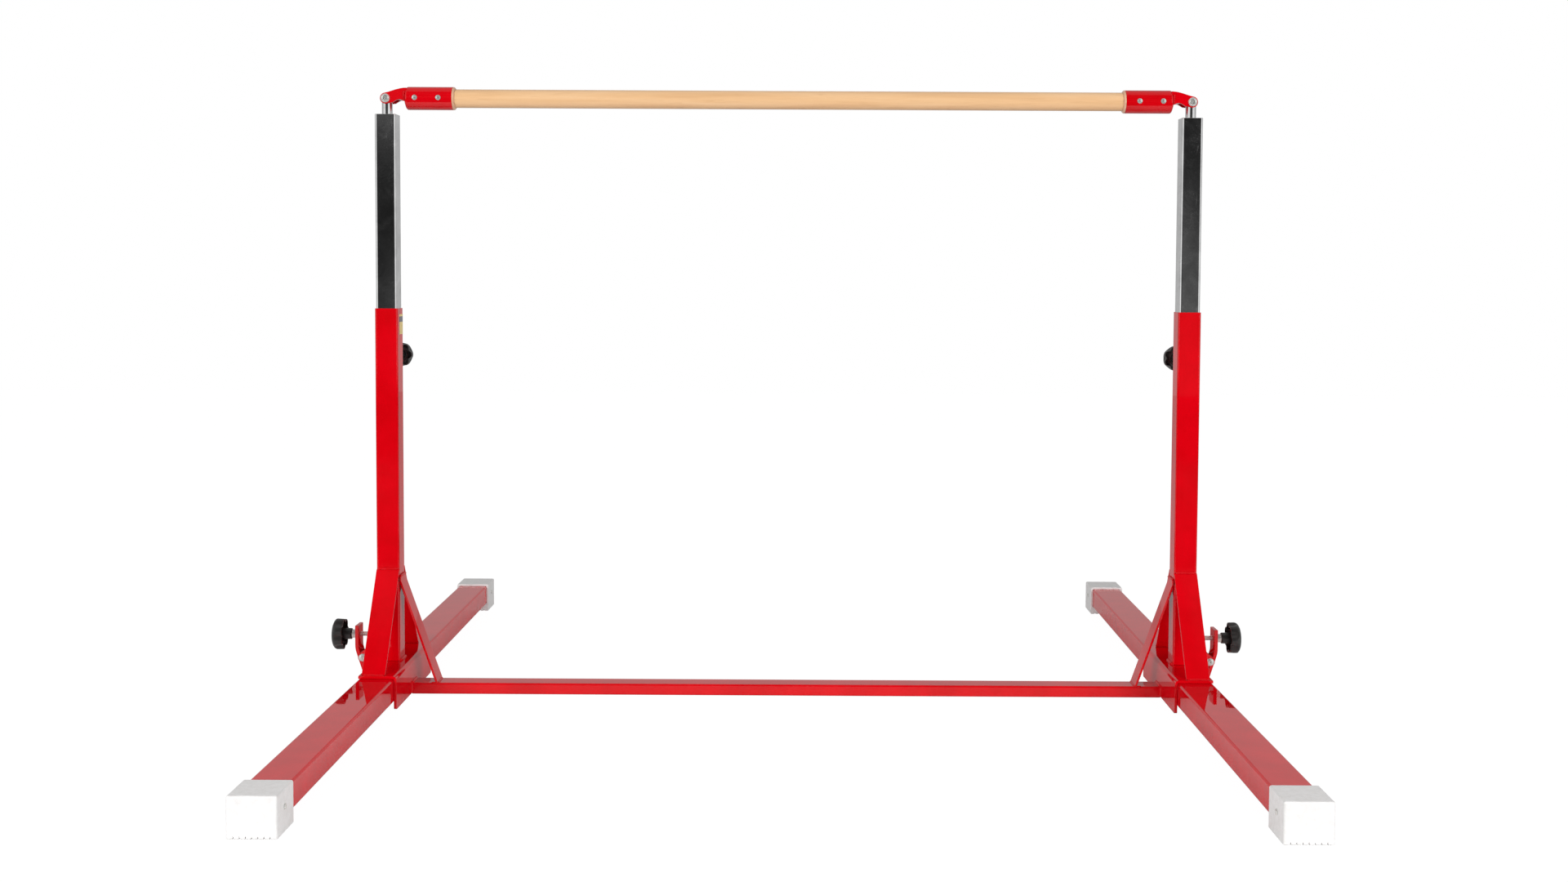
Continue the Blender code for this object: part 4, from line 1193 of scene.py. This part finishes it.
def socket_piece(label, side):
    """The sleeve with a rolled mouth and a domed end, joined to its slotted fork."""
    node = f"{label}_bar_socket"
    low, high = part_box(node)
    pivot = centre_of(f"{label}_fork_bolt")
    rail = centre_of("wooden_rail")
    inward = -side
    mouth_x = low.x if side > 0 else high.x
    end_x = pivot.x + inward * FORK_NECK
    length = abs(mouth_x - end_x)
    shoulder = -SLEEVE_DOME - SLEEVE_ROUND
    lip = 0.9 * (SLEEVE_RADIUS - SLEEVE_BORE)
    cut = SLEEVE_LIP - length
    profile = [
        (0.0, 0.0),
        (0.30 * SLEEVE_RADIUS, -0.06 * SLEEVE_DOME),
        (0.60 * SLEEVE_RADIUS, -0.45 * SLEEVE_DOME),
        *arc((SLEEVE_RADIUS - SLEEVE_ROUND, shoulder), SLEEVE_ROUND, 75, 0, 8),
        (SLEEVE_RADIUS, cut + 0.0006),
        (SLEEVE_RADIUS - 0.0006, cut),
        (SLEEVE_BORE, cut),
        (SLEEVE_BORE, -SLEEVE_END),
        (0.0, -SLEEVE_END),
    ]
    place = at(end_x, 0, rail.z, along((side, 0, 0)))
    bm = turned(profile, place, 96)
    centre = at(pivot.x, 0, pivot.z)
    fork = prism(
        mirrored(fork_outline(rail.z - pivot.z), inward),
        2 * FORK_HALF,
        centre @ FACE_XZ,
        edge=0.0011,
        angle=30,
    )
    bm = carve(bm, fork, "UNION")
    depth = FORK_SLOT_DEPTH + 0.03
    slot_x = pivot.x - side * (FORK_SLOT_DEPTH - depth / 2)
    bm = carve(bm, block((depth, 2 * FORK_SLOT_HALF, 0.06), at(slot_x, 0, pivot.z), 0.001))
    bm = carve(bm, rod(0.00615, -0.03, 0.03, centre @ along((0, 1, 0))))
    for which in ("outer", "inner"):
        screw = f"{label}_{which}_rail_screw"
        bm = carve(bm, rail_screw_mesh(screw, 0.0003))
    piece(f"{label}_sleeve", bm, "rail", "red", [node], sharp=28)

    rim = [
        (SLEEVE_BORE, cut - 0.0001),
        (SLEEVE_RADIUS - 0.0008, cut - 0.0001),
        (SLEEVE_RADIUS - 0.0002, cut - 0.0005),
        *arc((SLEEVE_RADIUS - lip - 0.0001, lip - length), lip, 0, -90, 10),
        (SLEEVE_BORE, -length),
    ]
    bm = turned([*rim, rim[0]], place, 96)
    bmesh.ops.remove_doubles(bm, verts=bm.verts, dist=0.00001)
    bmesh.ops.recalc_face_normals(bm, faces=bm.faces)
    piece(f"{label}_sleeve_rim", bm, "rail", "rim")

    half = 0.75 * FORK_END_RADIUS
    beads = []
    for y in (-FORK_HALF, FORK_HALF):
        x = pivot.x + inward * (FORK_NECK + 0.0015)
        beads.append(bead((x, y, pivot.z - 0.5 * half), (x, y, pivot.z + 1.8 * half), 0.0022, 12))
    piece(f"{label}_sleeve_welds", merged(*beads), "rail", "red", sharp=60)


def rail_screw_mesh(node, grow=0.0):
    """A raised countersunk screw in the sleeve, or its clearance when grown."""
    low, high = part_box(node)
    middle = (low + high) / 2
    place = at(middle.x, -SLEEVE_RADIUS, middle.z, along((0, -1, 0)))
    head = (high.x - low.x) / 2 + grow
    shank = 0.003 + grow
    deep = high.y + SLEEVE_RADIUS + grow
    rise = 20 * grow
    profile = [
        (0.0, 0.0012 + rise),
        (0.35 * head, 0.0011 + rise),
        (0.70 * head, 0.0008 + rise),
        (0.95 * head, 0.0003 + rise),
        (head, rise - 0.0002),
        (head, -0.0006),
        (shank, -0.0006 - head + shank),
        (shank, -deep),
        (0.0, -deep),
    ]
    return turned(profile, place, 48)


def rail_pieces():
    low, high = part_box("wooden_rail")
    middle = (low + high) / 2
    radius = (high.z - low.z) / 2
    half = (high.x - low.x) / 2
    soft = 0.002
    profile = [(0.0, half)]
    profile += [(radius - soft + x, half - soft + y) for x, y in arc((0, 0), soft, 90, 0, 4)]
    steps = 24
    profile += [(radius, half - soft - 2 * (half - soft) * i / steps) for i in range(1, steps)]
    profile += [(radius - soft + x, soft - half + y) for x, y in arc((0, 0), soft, 0, -90, 4)]
    profile += [(0.0, -half)]
    bm = turned(profile, at(*middle, along((1, 0, 0))), 96)
    piece("beech_rail", bm, "rail", "beech", ["wooden_rail"])
    for label, side in SIDES:
        socket_piece(label, side)
        for which in ("outer", "inner"):
            node = f"{label}_{which}_rail_screw"
            place = centre_of(node)
            recess = at(place.x, -SLEEVE_RADIUS - 0.0012, place.z, along((0, -1, 0)))
            bm = carve(rail_screw_mesh(node), cross_recess(0.0056, 0.0022, recess))
            piece(f"{node}_steel", bm, "rail", "zinc", [node])
        fork_bolt_pieces(label)


def fork_bolt_pieces(label):
    """A button-head bolt with a hexagon socket, and its nut."""
    node = f"{label}_fork_bolt"
    low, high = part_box(node)
    middle = (low + high) / 2
    radius = (high.x - low.x) / 2
    rise = BUTTON_RISE
    face = low.y + rise
    dome = [(0.0, rise)]
    for share, up in (
        (0.45, 1.0),
        (0.62, 0.92),
        (0.78, 0.76),
        (0.91, 0.50),
        (0.985, 0.24),
        (1.0, 0.08),
        (0.98, 0.0),
    ):
        dome.append((share * radius, up * rise))
    length = high.y - face
    shank = [(0.006, 0.0), (0.006, 0.001 - length), (0.0051, -length), (0.0, -length)]
    place = at(middle.x, face, middle.z, along((0, -1, 0)))
    bm = turned([*dome, *shank], place, 64)
    socket = prism(circle(0.004 * 2 / math.sqrt(3), 6), 0.007, place @ at(0, 0, rise), edge=0.0)
    piece(f"{node}_steel", carve(bm, socket), "rail", "zinc", [node])
    nut_piece(f"{label}_fork_nut", "rail", NUT_M12, (0, 1, 0))


def label_piece():
    """A plain printed label near the top of the left post's inner face."""
    face = span("left_outer_post", 0)[1]
    place = at(face + LABEL_SIZE[0] / 2 + 0.00005, *LABEL_PLACE)
    bm = block(LABEL_SIZE, place, edge=0.0001, segments=1)
    piece("left_plain_label", bm, "frame", "label")


def main():
    make_camera()
    make_world()
    make_floor()
    for label, side in SIDES:
        soft_box(label, side)
    bpy.context.scene.view_settings.view_transform = "Standard"
    beam_piece()
    for label, side in SIDES:
        foot_pieces(label, side)
        saddle_piece(label, side)
        post_piece(label)
        brace_pieces(label, side)
        frame_welds(label, side)
        clamp_pieces(label, side)
        height_pieces(label)
        inner_post_pieces(label)
    rail_pieces()
    label_piece()


main()
